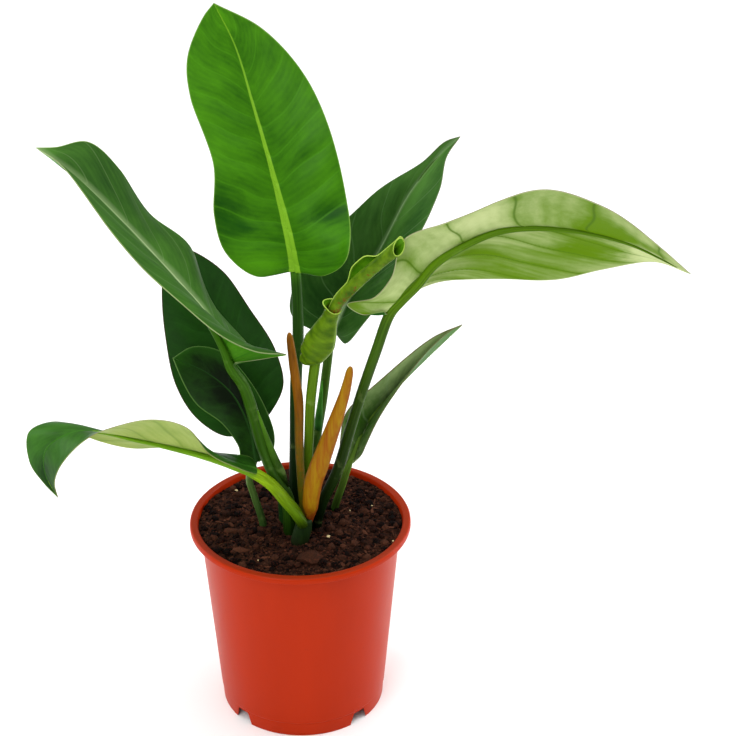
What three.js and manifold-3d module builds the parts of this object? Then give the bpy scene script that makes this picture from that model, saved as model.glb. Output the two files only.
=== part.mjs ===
// Potted philodendron: nine long-stalked leaves and two dry leaf sheaths on a short stem, in soil, in a
// plastic pot.
// Millimetres, +Z up. The origin is the middle of the pot's underside, and -Y is the front.
import * as THREE from 'three';
import { mergeVertices } from 'three/addons/utils/BufferGeometryUtils.js';
import Module from 'manifold-3d';

// ---- driving dimensions ----

const GAP = 0.35; // between pieces that rest in or on each other

const POT = {
  colour: 0xbe3219,
  roughness: 0.45,
  sides: 40,
  height: 160.7,
  rimRadius: 85,
  // The rolled rim's section, from the outer wall up over the rim to the inner wall, measured from the rim's
  // outer top corner.
  rim: [[-8.2, -8.7], [-2.4, -5.7], [0, -3.9], [-0.4, -1.6], [-2.2, 0], [-4.2, 0], [-6.2, -1.8], [-6.6, -5.1],
    [-9.4, -8.3]],
  baseRadius: 64,
  wall: 1.2,
  floor: 2.4,
  footHeight: 11, // of the foot ring, under the raised ring of the floor
  padRadius: 36, // the middle of the floor stands on the ground
  padSlope: 6,
  notches: 4,
  notchTurn: 44.5, // degrees, bearing of the first notch
  notchWidth: 17,
  notchTopWidth: 11,
  notchHeight: 10.4,
  notchReach: 6, // inwards from the foot's outside
  drainRadius: 4.5,
  drainCircle: 53,
  drainSides: 8,
};

const SOIL = {
  colour: 0x2b1a12,
  roughness: 0.95,
  top: 156.4,
  mound: 2,
  lump: 1.2,
  edgeLump: 0.3,
  rings: 7,
  sectors: 36,
  seed: 11,
};

const STEM = {
  colour: 0x142a0e,
  roughness: 0.7,
  axis: [[-2, -30, 118], [-2, -29, 140], [-1, -28, 156], [3, -25, 168], [4, -24, 174]],
  radii: [6.5, 7, 7.5, 10.5, 9],
  steps: 8,
  sides: 14,
};

const LEAF_ROUGHNESS = 0.5;
const STALK_SIDES = 8;
const STALK_STEP = 14; // millimetres of stalk from one ring of its skin to the next

// The flap along the lower part of some stalks.
const WING = { radii: [3.4, 2.6, 1.8, 0.5], steps: 6, sides: 6 };

const BLADE = {
  thickness: 1,
  lengthSteps: 20,
  stepPower: 1.25, // the steps are closer at the basal lobes
  across: [-1, -0.68, -0.36, -0.08, 0, 0.08, 0.36, 0.68, 1],
  lobePull: 1.4, // draws the side veins of the basal lobes together at the stalk
  waveStart: 0.08, // share of the length by which the waves are ahead at the stalk
};

// The midrib: a ridge under the blade, and near the stalk the stalk itself, which runs on below the blade.
const RIB = {
  ridge: 1.6,
  ridgeReach: 1 / 6, // share of the half blade that the ridge takes
  ridgeTaper: 0.8,
  shares: [0.06, 0.14, 0.22, 0.3], // places along the midrib that the stalk passes under
  drop: 2.2, // of the stalk's middle below the blade where it joins
  dropLoss: 0.35, // less at each place further on
  stalkTaper: 0.68,
  taperPower: 0.7,
};

// Each leaf: its stalk from root to blade, then the midrib and the blade's two edges from the stalk to the tip.
// Left and right are as seen on the upper face, looking from the stalk to the tip. Radii are of the stalk.
const LEAVES = {
  // The tallest leaf: upright, leaning back, upper face to the front.
  leaf_upright: {
    colour: 0x3b8a12,
    stalk: [[-4, -2, 134], [-4, -1, 160], [-4, 0, 187], [-3, 3, 228], [-2, 8, 276], [0, 14, 315]],
    radii: [5.2, 5, 4.3],
    rib: [[-1, 21, 360], [-5, 27, 382], [-18, 47, 429], [-31, 66, 471], [-44, 82, 511], [-59, 90, 541]],
    left: [[-6, 21, 362], [-29, 12, 360], [-51, 12, 379], [-59, 20, 405], [-59, 34, 440], [-76, 58, 480],
      [-78, 72, 506], [-67, 86, 531]],
    right: [[0, 21, 359], [21, 12, 361], [39, 10, 377], [36, 28, 414], [24, 50, 462], [3, 68, 499],
      [-24, 80, 525]],
    arch: 3,
    wave: [1.6, 3, 0.2],
  },
  // Arches up and out to the left, nearly edge-on to the front.
  leaf_high_left: {
    colour: 0x2f6b1c,
    stalk: [[-9, -14, 134], [-8, -16, 160], [-9, -21, 190], [-16, -26, 210], [-26, -30, 242],
      [-38, -35, 294]],
    radii: [5, 5.6, 4.2],
    wing: [[-8, -25, 204], [-17, -33, 233], [-24, -38, 260], [-28, -41, 278]],
    rib: [[-46, -36, 313], [-58, -33, 344], [-83, -28, 376], [-122, -18, 419], [-149, -8, 443],
      [-181, 8, 462]],
    left: [[-43, -38, 316], [-6, -44, 325], [-27, -62, 338], [-54, -72, 357], [-85, -70, 388],
      [-122, -58, 425],
      [-156, -28, 461]],
    right: [[-46, -33, 314], [-28, -12, 306], [-37, -2, 312], [-62, 10, 339], [-77, 18, 381], [-105, 24, 403],
      [-126, 28, 438], [-147, 24, 460], [-168, 14, 460]],
    arch: 3,
    wave: [1, 3, 0.1],
  },
  // Broad dark leaf behind it, upper face to the front.
  leaf_back_left: {
    colour: 0x17380f,
    stalk: [[-13, -3, 134], [-13, -2, 160], [-14, 0, 178], [-21, 4, 201], [-29, 9, 220]],
    radii: [3.6, 3.5, 3.2],
    rib: [[-35, 14, 232], [-46, 24, 263], [-61, 40, 298], [-78, 56, 332], [-96, 70, 360]],
    left: [[-38, 14, 230], [-55, 8, 228], [-77, 10, 242], [-93, 20, 266], [-101, 36, 304], [-103, 50, 331],
      [-102, 62, 348]],
    right: [[-31, 14, 233], [-20, 8, 251], [-11, 14, 270], [-17, 26, 292], [-35, 40, 317], [-55, 55, 342],
      [-77, 64, 355]],
    arch: 3,
    wave: [1.2, 2.5, 0],
  },
  // Small hollow leaf low down on the left, its tip bent forwards.
  leaf_small_left: {
    colour: 0x1d4014,
    stalk: [[-27, -4, 134], [-29, -6, 160], [-35, -8, 186], [-38, -9, 201]],
    radii: [3.2, 3, 2.8],
    rib: [[-32, -10, 216], [-36, -10, 244], [-48, -10, 274], [-67, -14, 295], [-89, -26, 313]],
    left: [[-34, -11, 216], [-42, -16, 220], [-44, -20, 236], [-55, -28, 259], [-72, -34, 279],
      [-81, -34, 296]],
    right: [[-30, -10, 216], [-20, -8, 224], [-18, -6, 236], [-23, -2, 254], [-36, 2, 280], [-55, 0, 304],
      [-75, -12, 315]],
    arch: -3,
    wave: [0.8, 2, 0.3],
  },
  // Rises behind to the right, upper face to the front.
  leaf_back_right: {
    colour: 0x23521a,
    stalk: [[8, 4, 132], [8, 8, 160], [9, 14, 186], [12, 30, 212], [17, 46, 238], [21, 60, 266]],
    radii: [3.8, 3.7, 3.4],
    wing: [[13, 29, 214], [15, 40, 236], [17, 48, 254]],
    rib: [[25, 70, 287], [40, 82, 313], [60, 98, 339], [84, 116, 381], [107, 128, 408], [123, 134, 421]],
    left: [[22, 69, 285], [9, 60, 292], [-7, 62, 306], [3, 80, 340], [37, 96, 370], [58, 106, 387],
      [93, 122, 404], [111, 130, 418]],
    right: [[28, 70, 285], [35, 58, 281], [52, 54, 305], [75, 66, 341], [91, 80, 365], [107, 102, 390],
      [112, 120, 409]],
    arch: 3,
    wave: [1.4, 3, 0.4],
  },
  // Lies out low to the left, rolled on its side so that the pale underside shows, and droops at the tip.
  leaf_low_left: {
    colour: 0x8fb04a,
    stalk: [[2, -31, 160], [1, -31, 170], [-2, -32, 181], [-9, -34, 195], [-19, -38, 213]],
    radii: [4.6, 5, 4.4],
    rib: [[-30, -42, 229], [-66, -52, 248], [-105, -60, 263], [-134, -64, 272], [-157, -62, 273],
      [-176, -58, 258],
      [-181, -60, 239], [-174, -62, 217]],
    left: [[-30, -46, 227], [-40, -66, 243], [-60, -84, 268], [-75, -90, 291], [-102, -92, 299],
      [-129, -92, 293],
      [-148, -84, 277], [-168, -76, 253], [-178, -68, 231]],
    right: [[-30, -39, 229], [-35, -28, 231], [-66, -22, 232], [-94, -26, 238], [-126, -36, 245],
      [-152, -40, 254],
      [-175, -36, 266], [-195, -42, 261], [-194, -52, 241], [-183, -60, 227]],
    arch: 2,
    wave: [1, 3, 0],
  },
  // The longest leaf, out to the right, turned on edge with its pale underside to the front.
  leaf_high_right: {
    colour: 0xa9bf6f,
    stalk: [[12, -8, 134], [13, -10, 160], [18, -14, 183], [29, -20, 213], [39, -25, 252], [48, -33, 289],
      [58, -41, 326]],
    radii: [4.2, 4.6, 4.2, 3.8],
    rib: [[66, -46, 359], [93, -52, 394], [130, -58, 425], [182, -66, 433], [229, -78, 427], [268, -95, 413]],
    left: [[68, -45, 359], [62, -26, 357], [72, -20, 358], [94, -30, 374], [125, -38, 384], [168, -48, 385],
      [212, -62, 400], [245, -80, 415]],
    right: [[63, -47, 361], [48, -44, 357], [37, -40, 363], [55, -46, 370], [68, -50, 389], [76, -54, 419],
      [103, -66, 436], [139, -82, 461], [172, -90, 471], [207, -94, 462], [242, -95, 436]],
    arch: 3,
    wave: [1.4, 4, 0.2],
  },
  // Narrow folded leaf, low on the right.
  leaf_low_right: {
    colour: 0x1f4a20,
    stalk: [[22, 14, 134], [26, 18, 158], [32, 16, 180]],
    radii: [3.2, 3.1, 2.9],
    rib: [[39, 14, 201], [52, 16, 236], [72, 14, 267], [98, 8, 300], [121, 0, 327]],
    left: [[37, 14, 201], [31, 6, 207], [31, 2, 230], [36, -2, 254], [53, -4, 275], [80, -6, 303],
      [102, -4, 320]],
    right: [[41, 14, 201], [47, 4, 214], [51, -2, 228], [62, -6, 254], [80, -10, 289], [99, -8, 313],
      [112, -4, 324]],
    arch: 1,
    wave: [0.6, 2, 0],
  },
};

// The youngest leaf is still rolled: a stalk, a swollen sleeve of wrapped lobes, and a scroll out of its mouth.
const YOUNG = {
  colour: 0x6da31c,
  stalk: [[6, -14, 165], [6, -12, 182], [6, -10, 200], [8, -14, 238], [10, -20, 275], [14, -26, 310]],
  radii: [3.4, 3.6, 3.9],
  sleeve: [[11, -26, 308], [14, -28, 316], [18, -32, 329], [23, -36, 345], [27, -40, 358], [28, -41, 362]],
  sleeveRadii: [6, 10.5, 12.5, 10.5, 7, 8.4],
  sleeveSides: 12,
  sleeveSteps: 9,
  mouthDepth: 7,
  mouthRise: 3, // of the mouth's cut above the sleeve's end
  mouthRadii: [6, 6.4, 7, 8.6],
  scroll: [[26, -38, 353], [32, -43, 368], [41, -48, 381], [54, -54, 397], [64, -58, 408], [73, -62, 418]],
  scrollRadii: [5, 5.4, 6, 8.5, 5.2, 6],
  scrollSteps: 12,
  wall: 1.2,
  wrap: 145, // degrees that the scroll wraps to each side
  face: -20, // degrees, bearing of the scroll's back
  arcPoints: 9,
};

// Dry leaf sheaths: tapering troughs, hollow towards the stalks that they wrapped.
const SHEATHS = {
  sheath_left: {
    colour: 0xb9721a,
    line: [[1, -18, 166], [0, -19, 180], [0, -19, 198], [0, -19, 240], [1, -19, 274], [-2, -17, 301],
      [-5, -15, 328]],
    widths: [6.4, 7, 8, 8.6, 8, 6.5, 3.6],
    face: 90,
  },
  sheath_right: {
    colour: 0xb5841a,
    line: [[10, -22, 166], [10, -23, 178], [10, -27, 192], [12, -31, 212], [17, -35, 230], [22, -38, 247],
      [30, -44, 275], [36, -48, 298], [40, -52, 320]],
    widths: [8, 10, 13, 16, 15, 12.5, 9.5, 6.5, 3],
    face: 110,
  },
};
const SHEATH = {
  roughness: 0.7,
  wall: 1.3,
  thinBelow: 6, // the wall thins with the width where the sheath is narrower than this
  wrap: 75, // degrees that the trough wraps to each side
  steps: 11,
  arcPoints: 7,
};

// ---- solids ----

const wasm = await Module();
wasm.setup();

const vec = (p) => (p.isVector3 ? p : new THREE.Vector3(...p));
const lineThrough = (points) => new THREE.CatmullRomCurve3(points.map(vec), false, 'centripetal');
const radians = THREE.MathUtils.degToRad;

// A manifold solid from a closed three.js geometry.
function solid(geometry) {
  const bare = geometry.clone();
  bare.deleteAttribute('normal');
  bare.deleteAttribute('uv');
  const merged = mergeVertices(bare, 1e-4);
  const vertProperties = new Float32Array(merged.attributes.position.array);
  const triVerts = new Uint32Array(merged.index.array);
  return new wasm.Manifold(new wasm.Mesh({ numProp: 3, vertProperties, triVerts }));
}

// The main body of a joined solid: sealed hollows are filled and loose scraps dropped.
function mainBody(manifold) {
  return manifold.decompose().reduce((best, piece) => (piece.volume() > best.volume() ? piece : best));
}

// A three.js geometry from a manifold solid.
function geometryOf(manifold) {
  const mesh = manifold.getMesh();
  const geometry = new THREE.BufferGeometry();
  geometry.setAttribute('position', new THREE.BufferAttribute(new Float32Array(mesh.vertProperties), 3));
  geometry.setIndex(new THREE.BufferAttribute(new Uint32Array(mesh.triVerts), 1));
  geometry.computeVertexNormals();
  return geometry;
}

// A closed geometry from points and triangles, turned so that its faces point out.
function closedGeometry(points, triangles) {
  const geometry = new THREE.BufferGeometry().setFromPoints(points);
  let volume = 0;
  for (const [a, b, c] of triangles) {
    volume += points[a].dot(new THREE.Vector3().crossVectors(points[b], points[c]));
  }
  const outward = volume > 0 ? triangles : triangles.map(([a, b, c]) => [a, c, b]);
  geometry.setIndex(outward.flat());
  geometry.computeVertexNormals();
  return geometry;
}

// A closed body through rings of points, with a flat fan over each end.
function loft(rings) {
  const count = rings[0].length;
  const points = rings.flat();
  const triangles = [];
  for (let r = 0; r + 1 < rings.length; r++) {
    for (let i = 0; i < count; i++) {
      const a = r * count + i;
      const b = r * count + ((i + 1) % count);
      triangles.push([a, b, b + count], [a, b + count, a + count]);
    }
  }
  const caps = [[rings[0], 0, false], [rings.at(-1), points.length - count, true]];
  for (const [ring, first, last] of caps) {
    const shape = ring.map((p) => p.clone());
    const middle = shape.reduce((sum, p) => sum.add(p), new THREE.Vector3()).divideScalar(count);
    const hub = points.push(middle) - 1;
    for (let i = 0; i < count; i++) {
      const a = first + i;
      const b = first + ((i + 1) % count);
      triangles.push(last ? [a, b, hub] : [b, a, hub]);
    }
  }
  return closedGeometry(points, triangles);
}

// Value at t (0 to 1) in a list of evenly spaced values.
function along(values, t) {
  const x = Math.min(Math.max(t, 0), 1) * (values.length - 1);
  const i = Math.min(Math.floor(x), values.length - 2);
  return THREE.MathUtils.lerp(values[i], values[i + 1], x - i);
}

// The direction that the sections of stalks and sheaths are lined up with.
const SIDE = new THREE.Vector3(1, 0.2, 0);

// Two directions square to a curve at each of its steps, the first kept as near as possible to SIDE.
function frames(curve, steps) {
  const list = [];
  for (let i = 0; i <= steps; i++) {
    const t = i / steps;
    const tangent = curve.getTangentAt(t);
    const front = new THREE.Vector3().crossVectors(tangent, SIDE).normalize();
    const across = new THREE.Vector3().crossVectors(front, tangent).normalize();
    list.push({ t, tangent, centre: curve.getPointAt(t), across, front });
  }
  return list;
}

// A trough's section: a ring of points out along its outside and back along its inside.
function openRing({ centre, across, front }, radius, wall, face, wrap, arcPoints) {
  const step = (2 * wrap) / (arcPoints - 1);
  const arc = Array.from({ length: arcPoints }, (_, k) => radians(face - wrap + step * k));
  const at = (angle, r) => centre.clone().addScaledVector(across, r * Math.cos(angle))
    .addScaledVector(front, -r * Math.sin(angle));
  return [...arc.map((a) => at(a, radius)), ...arc.reverse().map((a) => at(a, radius - wall))];
}

// A round stalk along a curve, of the radius given at each share of its length, grown all round and at its foot
// by `extra` for the hole that holds it.
function stalk(curve, radiusAt, steps, sides, extra = 0) {
  const rings = frames(curve, steps).map(({ t, tangent, centre, across, front }) => {
    const radius = radiusAt(t) + extra;
    if (t === 0) centre.addScaledVector(tangent, -extra);
    return Array.from({ length: sides }, (_, k) => {
      const angle = (k / sides) * 2 * Math.PI;
      return centre.clone().addScaledVector(across, radius * Math.cos(angle))
        .addScaledVector(front, radius * Math.sin(angle));
    });
  });
  return solid(loft(rings));
}

// ---- leaves ----

// Normals of a grid of points, one row per step along the blade.
function gridNormals(rows) {
  const width = rows[0].length;
  const geometry = new THREE.BufferGeometry().setFromPoints(rows.flat());
  const index = [];
  for (let i = 0; i + 1 < rows.length; i++) {
    for (let j = 0; j + 1 < width; j++) {
      const a = i * width + j;
      index.push(a, a + 1, a + 1 + width, a, a + 1 + width, a + width);
    }
  }
  geometry.setIndex(index);
  geometry.computeVertexNormals();
  const normal = geometry.attributes.normal;
  const normalAt = (k) => new THREE.Vector3().fromBufferAttribute(normal, k);
  return rows.map((row, i) => row.map((_, j) => normalAt(i * width + j)));
}

// Share of the edge's length at a step.
const stepShare = (i) => (i / BLADE.lengthSteps) ** BLADE.stepPower;

const MIDDLE = (BLADE.across.length - 1) / 2;

// A closed thin sheet from a grid of points to another below it, which both run to the tip.
function sheet(upper, lower, tip) {
  const steps = upper.length;
  const width = upper[0].length;
  const points = [...upper.flat(), ...lower.flat()];
  const under = steps * width;
  const triangles = [];
  for (let i = 0; i + 1 < steps; i++) {
    for (let j = 0; j + 1 < width; j++) {
      const a = i * width + j;
      const b = a + 1;
      const c = a + width;
      const d = c + 1;
      triangles.push([a, b, d], [a, d, c]);
      triangles.push([under + a, under + d, under + b], [under + a, under + c, under + d]);
    }
    const l = i * width;
    const r = l + width - 1;
    triangles.push([l, l + width, under + l + width], [l, under + l + width, under + l]);
    triangles.push([r, under + r + width, r + width], [r, under + r, under + r + width]);
  }
  const point = points.push(vec(tip)) - 1;
  const last = (steps - 1) * width;
  for (let j = 0; j + 1 < width; j++) {
    triangles.push([j, under + j, under + j + 1], [j, under + j + 1, j + 1]);
    triangles.push([last + j, last + j + 1, point], [under + last + j, point, under + last + j + 1]);
  }
  triangles.push([last, point, under + last], [last + width - 1, under + last + width - 1, point]);
  return closedGeometry(points, triangles);
}

// The thin blade between its midrib and two edges: arched, waved towards the edges, with a raised midrib below.
function blade(leaf) {
  const { thickness, lengthSteps, across, lobePull, waveStart } = BLADE;
  const tip = leaf.rib.at(-1);
  const rib = lineThrough(leaf.rib);
  const left = lineThrough([...leaf.left, tip]);
  const right = lineThrough([...leaf.right, tip]);
  const [waveHeight, waveCount, wavePhase] = leaf.wave;
  const flat = Array.from({ length: lengthSteps }, (_, i) => {
    const u = stepShare(i);
    const middle = rib.getPointAt(u ** lobePull);
    return across.map((v) => {
      const edge = (v < 0 ? left : right).getPointAt(u);
      return middle.clone().lerp(edge, Math.abs(v));
    });
  });
  const flatNormals = gridNormals(flat);
  const rows = flat.map((row, i) => row.map((p, j) => {
    const u = stepShare(i);
    const v = Math.abs(across[j]);
    const fade = Math.sin(Math.PI * Math.min(u + waveStart, 1));
    const opposite = across[j] < 0 ? 0 : 0.5;
    const wave = waveHeight * v * v * Math.sin(2 * Math.PI * (waveCount * u + wavePhase + opposite));
    return p.clone().addScaledVector(flatNormals[i][j], fade * (4 * leaf.arch * v * (1 - v) + wave));
  }));
  const normals = gridNormals(rows);
  const upper = rows.map((row, i) => row.map((p, j) =>
    p.clone().addScaledVector(normals[i][j], thickness / 2)));
  const lower = rows.map((row, i) => row.map((p, j) => {
    const rise = Math.max(0, 1 - Math.abs(across[j]) / RIB.ridgeReach);
    const ridge = RIB.ridge * rise * (1 - RIB.ridgeTaper * (i / lengthSteps));
    return p.clone().addScaledVector(normals[i][j], -thickness / 2 - ridge);
  }));
  // Each half is a body of its own until they are joined along the midrib, so that a sharp fold there stays sound.
  const halves = [[0, MIDDLE + 1], [MIDDLE, across.length]].map(([first, end]) =>
    solid(sheet(upper.map((row) => row.slice(first, end)), lower.map((row) => row.slice(first, end)), tip)));
  return { body: halves[0].add(halves[1]), rib, normals };
}

// The stalk's line, carried on under the blade as its midrib.
function stalkLine(leaf, rib, normals) {
  const onRib = RIB.shares.map((s, k) => {
    const row = Math.round(s ** (1 / BLADE.lobePull / BLADE.stepPower) * BLADE.lengthSteps);
    return rib.getPointAt(s).addScaledVector(normals[row][MIDDLE], RIB.dropLoss * k - RIB.drop);
  });
  const join = vec(leaf.rib[0]).addScaledVector(normals[1][MIDDLE], -RIB.drop);
  return lineThrough([...leaf.stalk, join, ...onRib]);
}

// The stalk and thick midrib of a leaf, grown by `extra` for the hole that it stands in.
function leafStalk(leaf, { rib, normals }, extra = 0) {
  const line = stalkLine(leaf, rib, normals);
  const free = lineThrough([...leaf.stalk, leaf.rib[0]]).getLength();
  const share = free / line.getLength();
  const steps = Math.round(line.getLength() / STALK_STEP);
  const radiusAt = (t) => {
    const under = Math.max(0, (t - share) / (1 - share));
    return along(leaf.radii, t / share) * (1 - RIB.stalkTaper * under ** RIB.taperPower);
  };
  return stalk(line, radiusAt, steps, STALK_SIDES, extra);
}

// The flap that runs up a stalk from its foot.
function wingSolid(points) {
  return stalk(lineThrough(points), (t) => along(WING.radii, t), WING.steps, WING.sides);
}

// ---- the rolled young leaf ----

// A closed body through open rings, whose two ends are closed by strips across the wall.
function openLoft(rings) {
  const count = rings[0].length;
  const points = rings.flat();
  const triangles = [];
  for (let r = 0; r + 1 < rings.length; r++) {
    for (let i = 0; i < count; i++) {
      const a = r * count + i;
      const b = r * count + ((i + 1) % count);
      triangles.push([a, b, b + count], [a, b + count, a + count]);
    }
  }
  for (const [first, last] of [[0, false], [points.length - count, true]]) {
    for (let i = 0; i + 1 < count / 2; i++) {
      const a = first + i;
      const b = a + 1;
      const d = first + count - 1 - i;
      const c = d - 1;
      triangles.push(...(last ? [[a, b, c], [a, c, d]] : [[a, c, b], [a, d, c]]));
    }
  }
  return closedGeometry(points, triangles);
}

function youngStalk(leaf, extra = 0) {
  const line = lineThrough([...leaf.stalk, leaf.sleeve[1]]);
  const steps = Math.round(line.getLength() / STALK_STEP);
  return stalk(line, (t) => along(leaf.radii, t), steps, STALK_SIDES, extra);
}

function youngLeaf(leaf) {
  const sleeveLine = lineThrough(leaf.sleeve);
  const sleeve = stalk(sleeveLine, (t) => along(leaf.sleeveRadii, t), leaf.sleeveSteps, leaf.sleeveSides);
  const top = sleeveLine.getPointAt(1);
  const mouthLine = lineThrough([sleeveLine.getPointAt(1 - leaf.mouthDepth / sleeveLine.getLength()), top,
    top.clone().addScaledVector(sleeveLine.getTangentAt(1), leaf.mouthRise)]);
  const mouth = stalk(mouthLine, (t) => along(leaf.mouthRadii, t), leaf.mouthRadii.length, leaf.sleeveSides);
  const rings = frames(lineThrough(leaf.scroll), leaf.scrollSteps).map((frame) =>
    openRing(frame, along(leaf.scrollRadii, frame.t), leaf.wall, leaf.face, leaf.wrap, leaf.arcPoints));
  return mainBody(youngStalk(leaf).add(sleeve).subtract(mouth).add(solid(openLoft(rings))));
}

// ---- dry sheaths ----

function sheathSolid(sheath, extra = 0) {
  const { wall, thinBelow, wrap, steps, arcPoints } = SHEATH;
  const rings = frames(lineThrough(sheath.line), steps).map((frame) => {
    if (frame.t === 0) frame.centre.addScaledVector(frame.tangent, -extra);
    const width = along(sheath.widths, frame.t) + 2 * extra;
    const thick = wall * Math.min(1, width / thinBelow) + 2 * extra;
    const bend = wrap + THREE.MathUtils.radToDeg(extra / (width / 2 - thick));
    return openRing(frame, width / 2, thick, sheath.face, bend, arcPoints);
  });
  return solid(openLoft(rings));
}

// ---- pot, soil and stem ----

// Outer radius of the pot's wall, which tapers evenly from the base to the rim.
const wallRadius = (z) => THREE.MathUtils.mapLinear(z, 0, POT.height + POT.rim[0][1], POT.baseRadius,
  POT.rimRadius + POT.rim[0][0]);

// Radii and heights of the floor's upper side, from the middle out, raised by `lift` for what rests on it.
function floorOutline(lift = 0) {
  const { wall, floor, footHeight, padRadius, padSlope } = POT;
  const raised = footHeight + floor + lift;
  const inner = padRadius - floor / 2 - lift;
  return [[0, floor + lift], [inner, floor + lift], [inner + padSlope, raised],
    [wallRadius(raised) - wall - lift, raised]];
}

function potSolid() {
  const { sides, height, rimRadius, rim, baseRadius, wall, footHeight, padRadius, padSlope } = POT;
  const outline = [
    [0, 0], [padRadius, 0], [padRadius + padSlope, footHeight], [wallRadius(footHeight) - wall, footHeight],
    [baseRadius - wall, 0], [baseRadius, 0], ...rim.map(([x, y]) => [rimRadius + x, height + y]),
    ...floorOutline().reverse(),
  ];
  const turned = new THREE.LatheGeometry(outline.map(([x, y]) => new THREE.Vector2(x, y)), sides);
  turned.rotateX(Math.PI / 2);
  return solid(turned);
}

// Wedges cut out of the foot, through which water drains, and a hole in the raised floor behind each.
function footNotches() {
  const { baseRadius, notches, notchTurn, notchWidth, notchTopWidth, notchHeight, notchReach } = POT;
  const { floor, footHeight, drainRadius, drainCircle, drainSides } = POT;
  const past = 4; // cut past the surfaces, so that nothing is left standing
  return Array.from({ length: notches }, (_, k) => {
    const turn = radians(notchTurn + (360 / notches) * k);
    const shape = new THREE.Shape();
    shape.moveTo(-notchWidth / 2, -past);
    shape.lineTo(notchWidth / 2, -past);
    shape.lineTo(notchTopWidth / 2, notchHeight);
    shape.lineTo(-notchTopWidth / 2, notchHeight);
    shape.closePath();
    const wedge = new THREE.ExtrudeGeometry(shape, { depth: notchReach + past, bevelEnabled: false });
    wedge.rotateX(Math.PI / 2);
    wedge.translate(0, baseRadius + past, 0);
    wedge.rotateZ(turn);
    const drain = new THREE.CylinderGeometry(drainRadius, drainRadius, floor + 2 * past, drainSides);
    drain.rotateX(Math.PI / 2);
    drain.translate(0, drainCircle, footHeight + floor / 2);
    drain.rotateZ(turn);
    return solid(wedge).add(solid(drain));
  });
}

// Repeatable random numbers from 0 to 1.
function seeded(seed) {
  let state = seed;
  return () => {
    state = (state * 16807) % 2147483647;
    return state / 2147483647;
  };
}

// Soil: fills the pot well into the rim, under a lumpy surface that is slightly mounded at the stem.
function soilSolid() {
  const { top, mound, lump, edgeLump, rings, sectors, seed } = SOIL;
  const random = seeded(seed);
  const [ledgeTop, ledgeFoot] = POT.rim.slice(-2).map(([x, y]) =>
    [POT.rimRadius + x - GAP, POT.height + y + GAP]); // where the soil follows the inside of the rim
  const edge = ledgeTop[0];
  const turnOf = (k) => (k / sectors) * 2 * Math.PI;
  const ringPoint = (radius, angle, z) =>
    new THREE.Vector3(radius * Math.cos(angle), radius * Math.sin(angle), z);
  const surface = [];
  for (let r = 1; r <= rings; r++) {
    const share = r / rings;
    const height = r < rings ? lump : edgeLump;
    surface.unshift(Array.from({ length: sectors }, (_, k) => {
      const rise = mound * (1 - share) + height * (2 * random() - 1);
      return ringPoint(edge * share, turnOf(k + 0.5 * (r % 2)), top + rise);
    }));
  }
  const base = [...floorOutline(GAP).slice(1), ledgeFoot, ledgeTop].map(([radius, z]) =>
    Array.from({ length: sectors }, (_, k) => ringPoint(radius, turnOf(k + 0.5), z)));
  return solid(loft([...base, ...surface]));
}

function stemSolid(extra = 0) {
  const { axis, radii, steps, sides } = STEM;
  return stalk(lineThrough(axis), (t) => along(radii, t), steps, sides, extra);
}

// ---- assembly ----

const part = new THREE.Group();
part.name = 'potted_philodendron';

function addPiece(name, manifold, color, roughness) {
  const material = new THREE.MeshStandardMaterial({ color, roughness, metalness: 0 });
  const mesh = new THREE.Mesh(geometryOf(manifold), material);
  mesh.name = name;
  part.add(mesh);
}

// Stalks and sheaths stand in plain holes in the soil and the stem.
const holes = [youngStalk(YOUNG, GAP), ...Object.values(SHEATHS).map((sheath) => sheathSolid(sheath, GAP))];
for (const [name, leaf] of Object.entries(LEAVES)) {
  const bladeParts = blade(leaf);
  let body = leafStalk(leaf, bladeParts).add(bladeParts.body);
  if (leaf.wing) body = body.add(wingSolid(leaf.wing));
  addPiece(name, mainBody(body), leaf.colour, LEAF_ROUGHNESS);
  holes.push(leafStalk(leaf, bladeParts, GAP));
}
addPiece('leaf_young', youngLeaf(YOUNG), YOUNG.colour, LEAF_ROUGHNESS);
for (const [name, sheath] of Object.entries(SHEATHS)) {
  addPiece(name, sheathSolid(sheath), sheath.colour, SHEATH.roughness);
}

const pot = footNotches().reduce((rest, notch) => rest.subtract(notch), potSolid());
const soil = holes.reduce((rest, hole) => rest.subtract(hole), soilSolid().subtract(stemSolid(GAP)));
const stem = holes.reduce((rest, hole) => rest.subtract(hole), stemSolid());
addPiece('pot', mainBody(pot), POT.colour, POT.roughness);
addPiece('soil', mainBody(soil), SOIL.colour, SOIL.roughness);
addPiece('stem', mainBody(stem), STEM.colour, STEM.roughness);

export default part;
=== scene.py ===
import math
import random

import bpy
import numpy as np
from mathutils import Matrix, Vector, noise


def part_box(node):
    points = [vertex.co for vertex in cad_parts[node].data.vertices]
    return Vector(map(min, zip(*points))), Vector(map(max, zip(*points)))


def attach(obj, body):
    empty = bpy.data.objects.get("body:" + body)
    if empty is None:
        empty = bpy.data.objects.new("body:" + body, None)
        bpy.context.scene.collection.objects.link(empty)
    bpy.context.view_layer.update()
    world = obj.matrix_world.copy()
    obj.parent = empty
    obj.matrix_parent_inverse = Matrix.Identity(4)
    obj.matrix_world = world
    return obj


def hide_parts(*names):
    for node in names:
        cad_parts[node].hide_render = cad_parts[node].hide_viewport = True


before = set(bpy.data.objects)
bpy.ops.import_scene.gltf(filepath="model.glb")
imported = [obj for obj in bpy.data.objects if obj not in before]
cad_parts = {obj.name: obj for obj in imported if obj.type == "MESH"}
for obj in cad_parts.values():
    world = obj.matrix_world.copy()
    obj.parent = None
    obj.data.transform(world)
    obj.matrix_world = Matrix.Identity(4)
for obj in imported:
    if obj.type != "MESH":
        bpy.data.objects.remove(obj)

bpy.ops.object.select_all(action="DESELECT")
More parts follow.
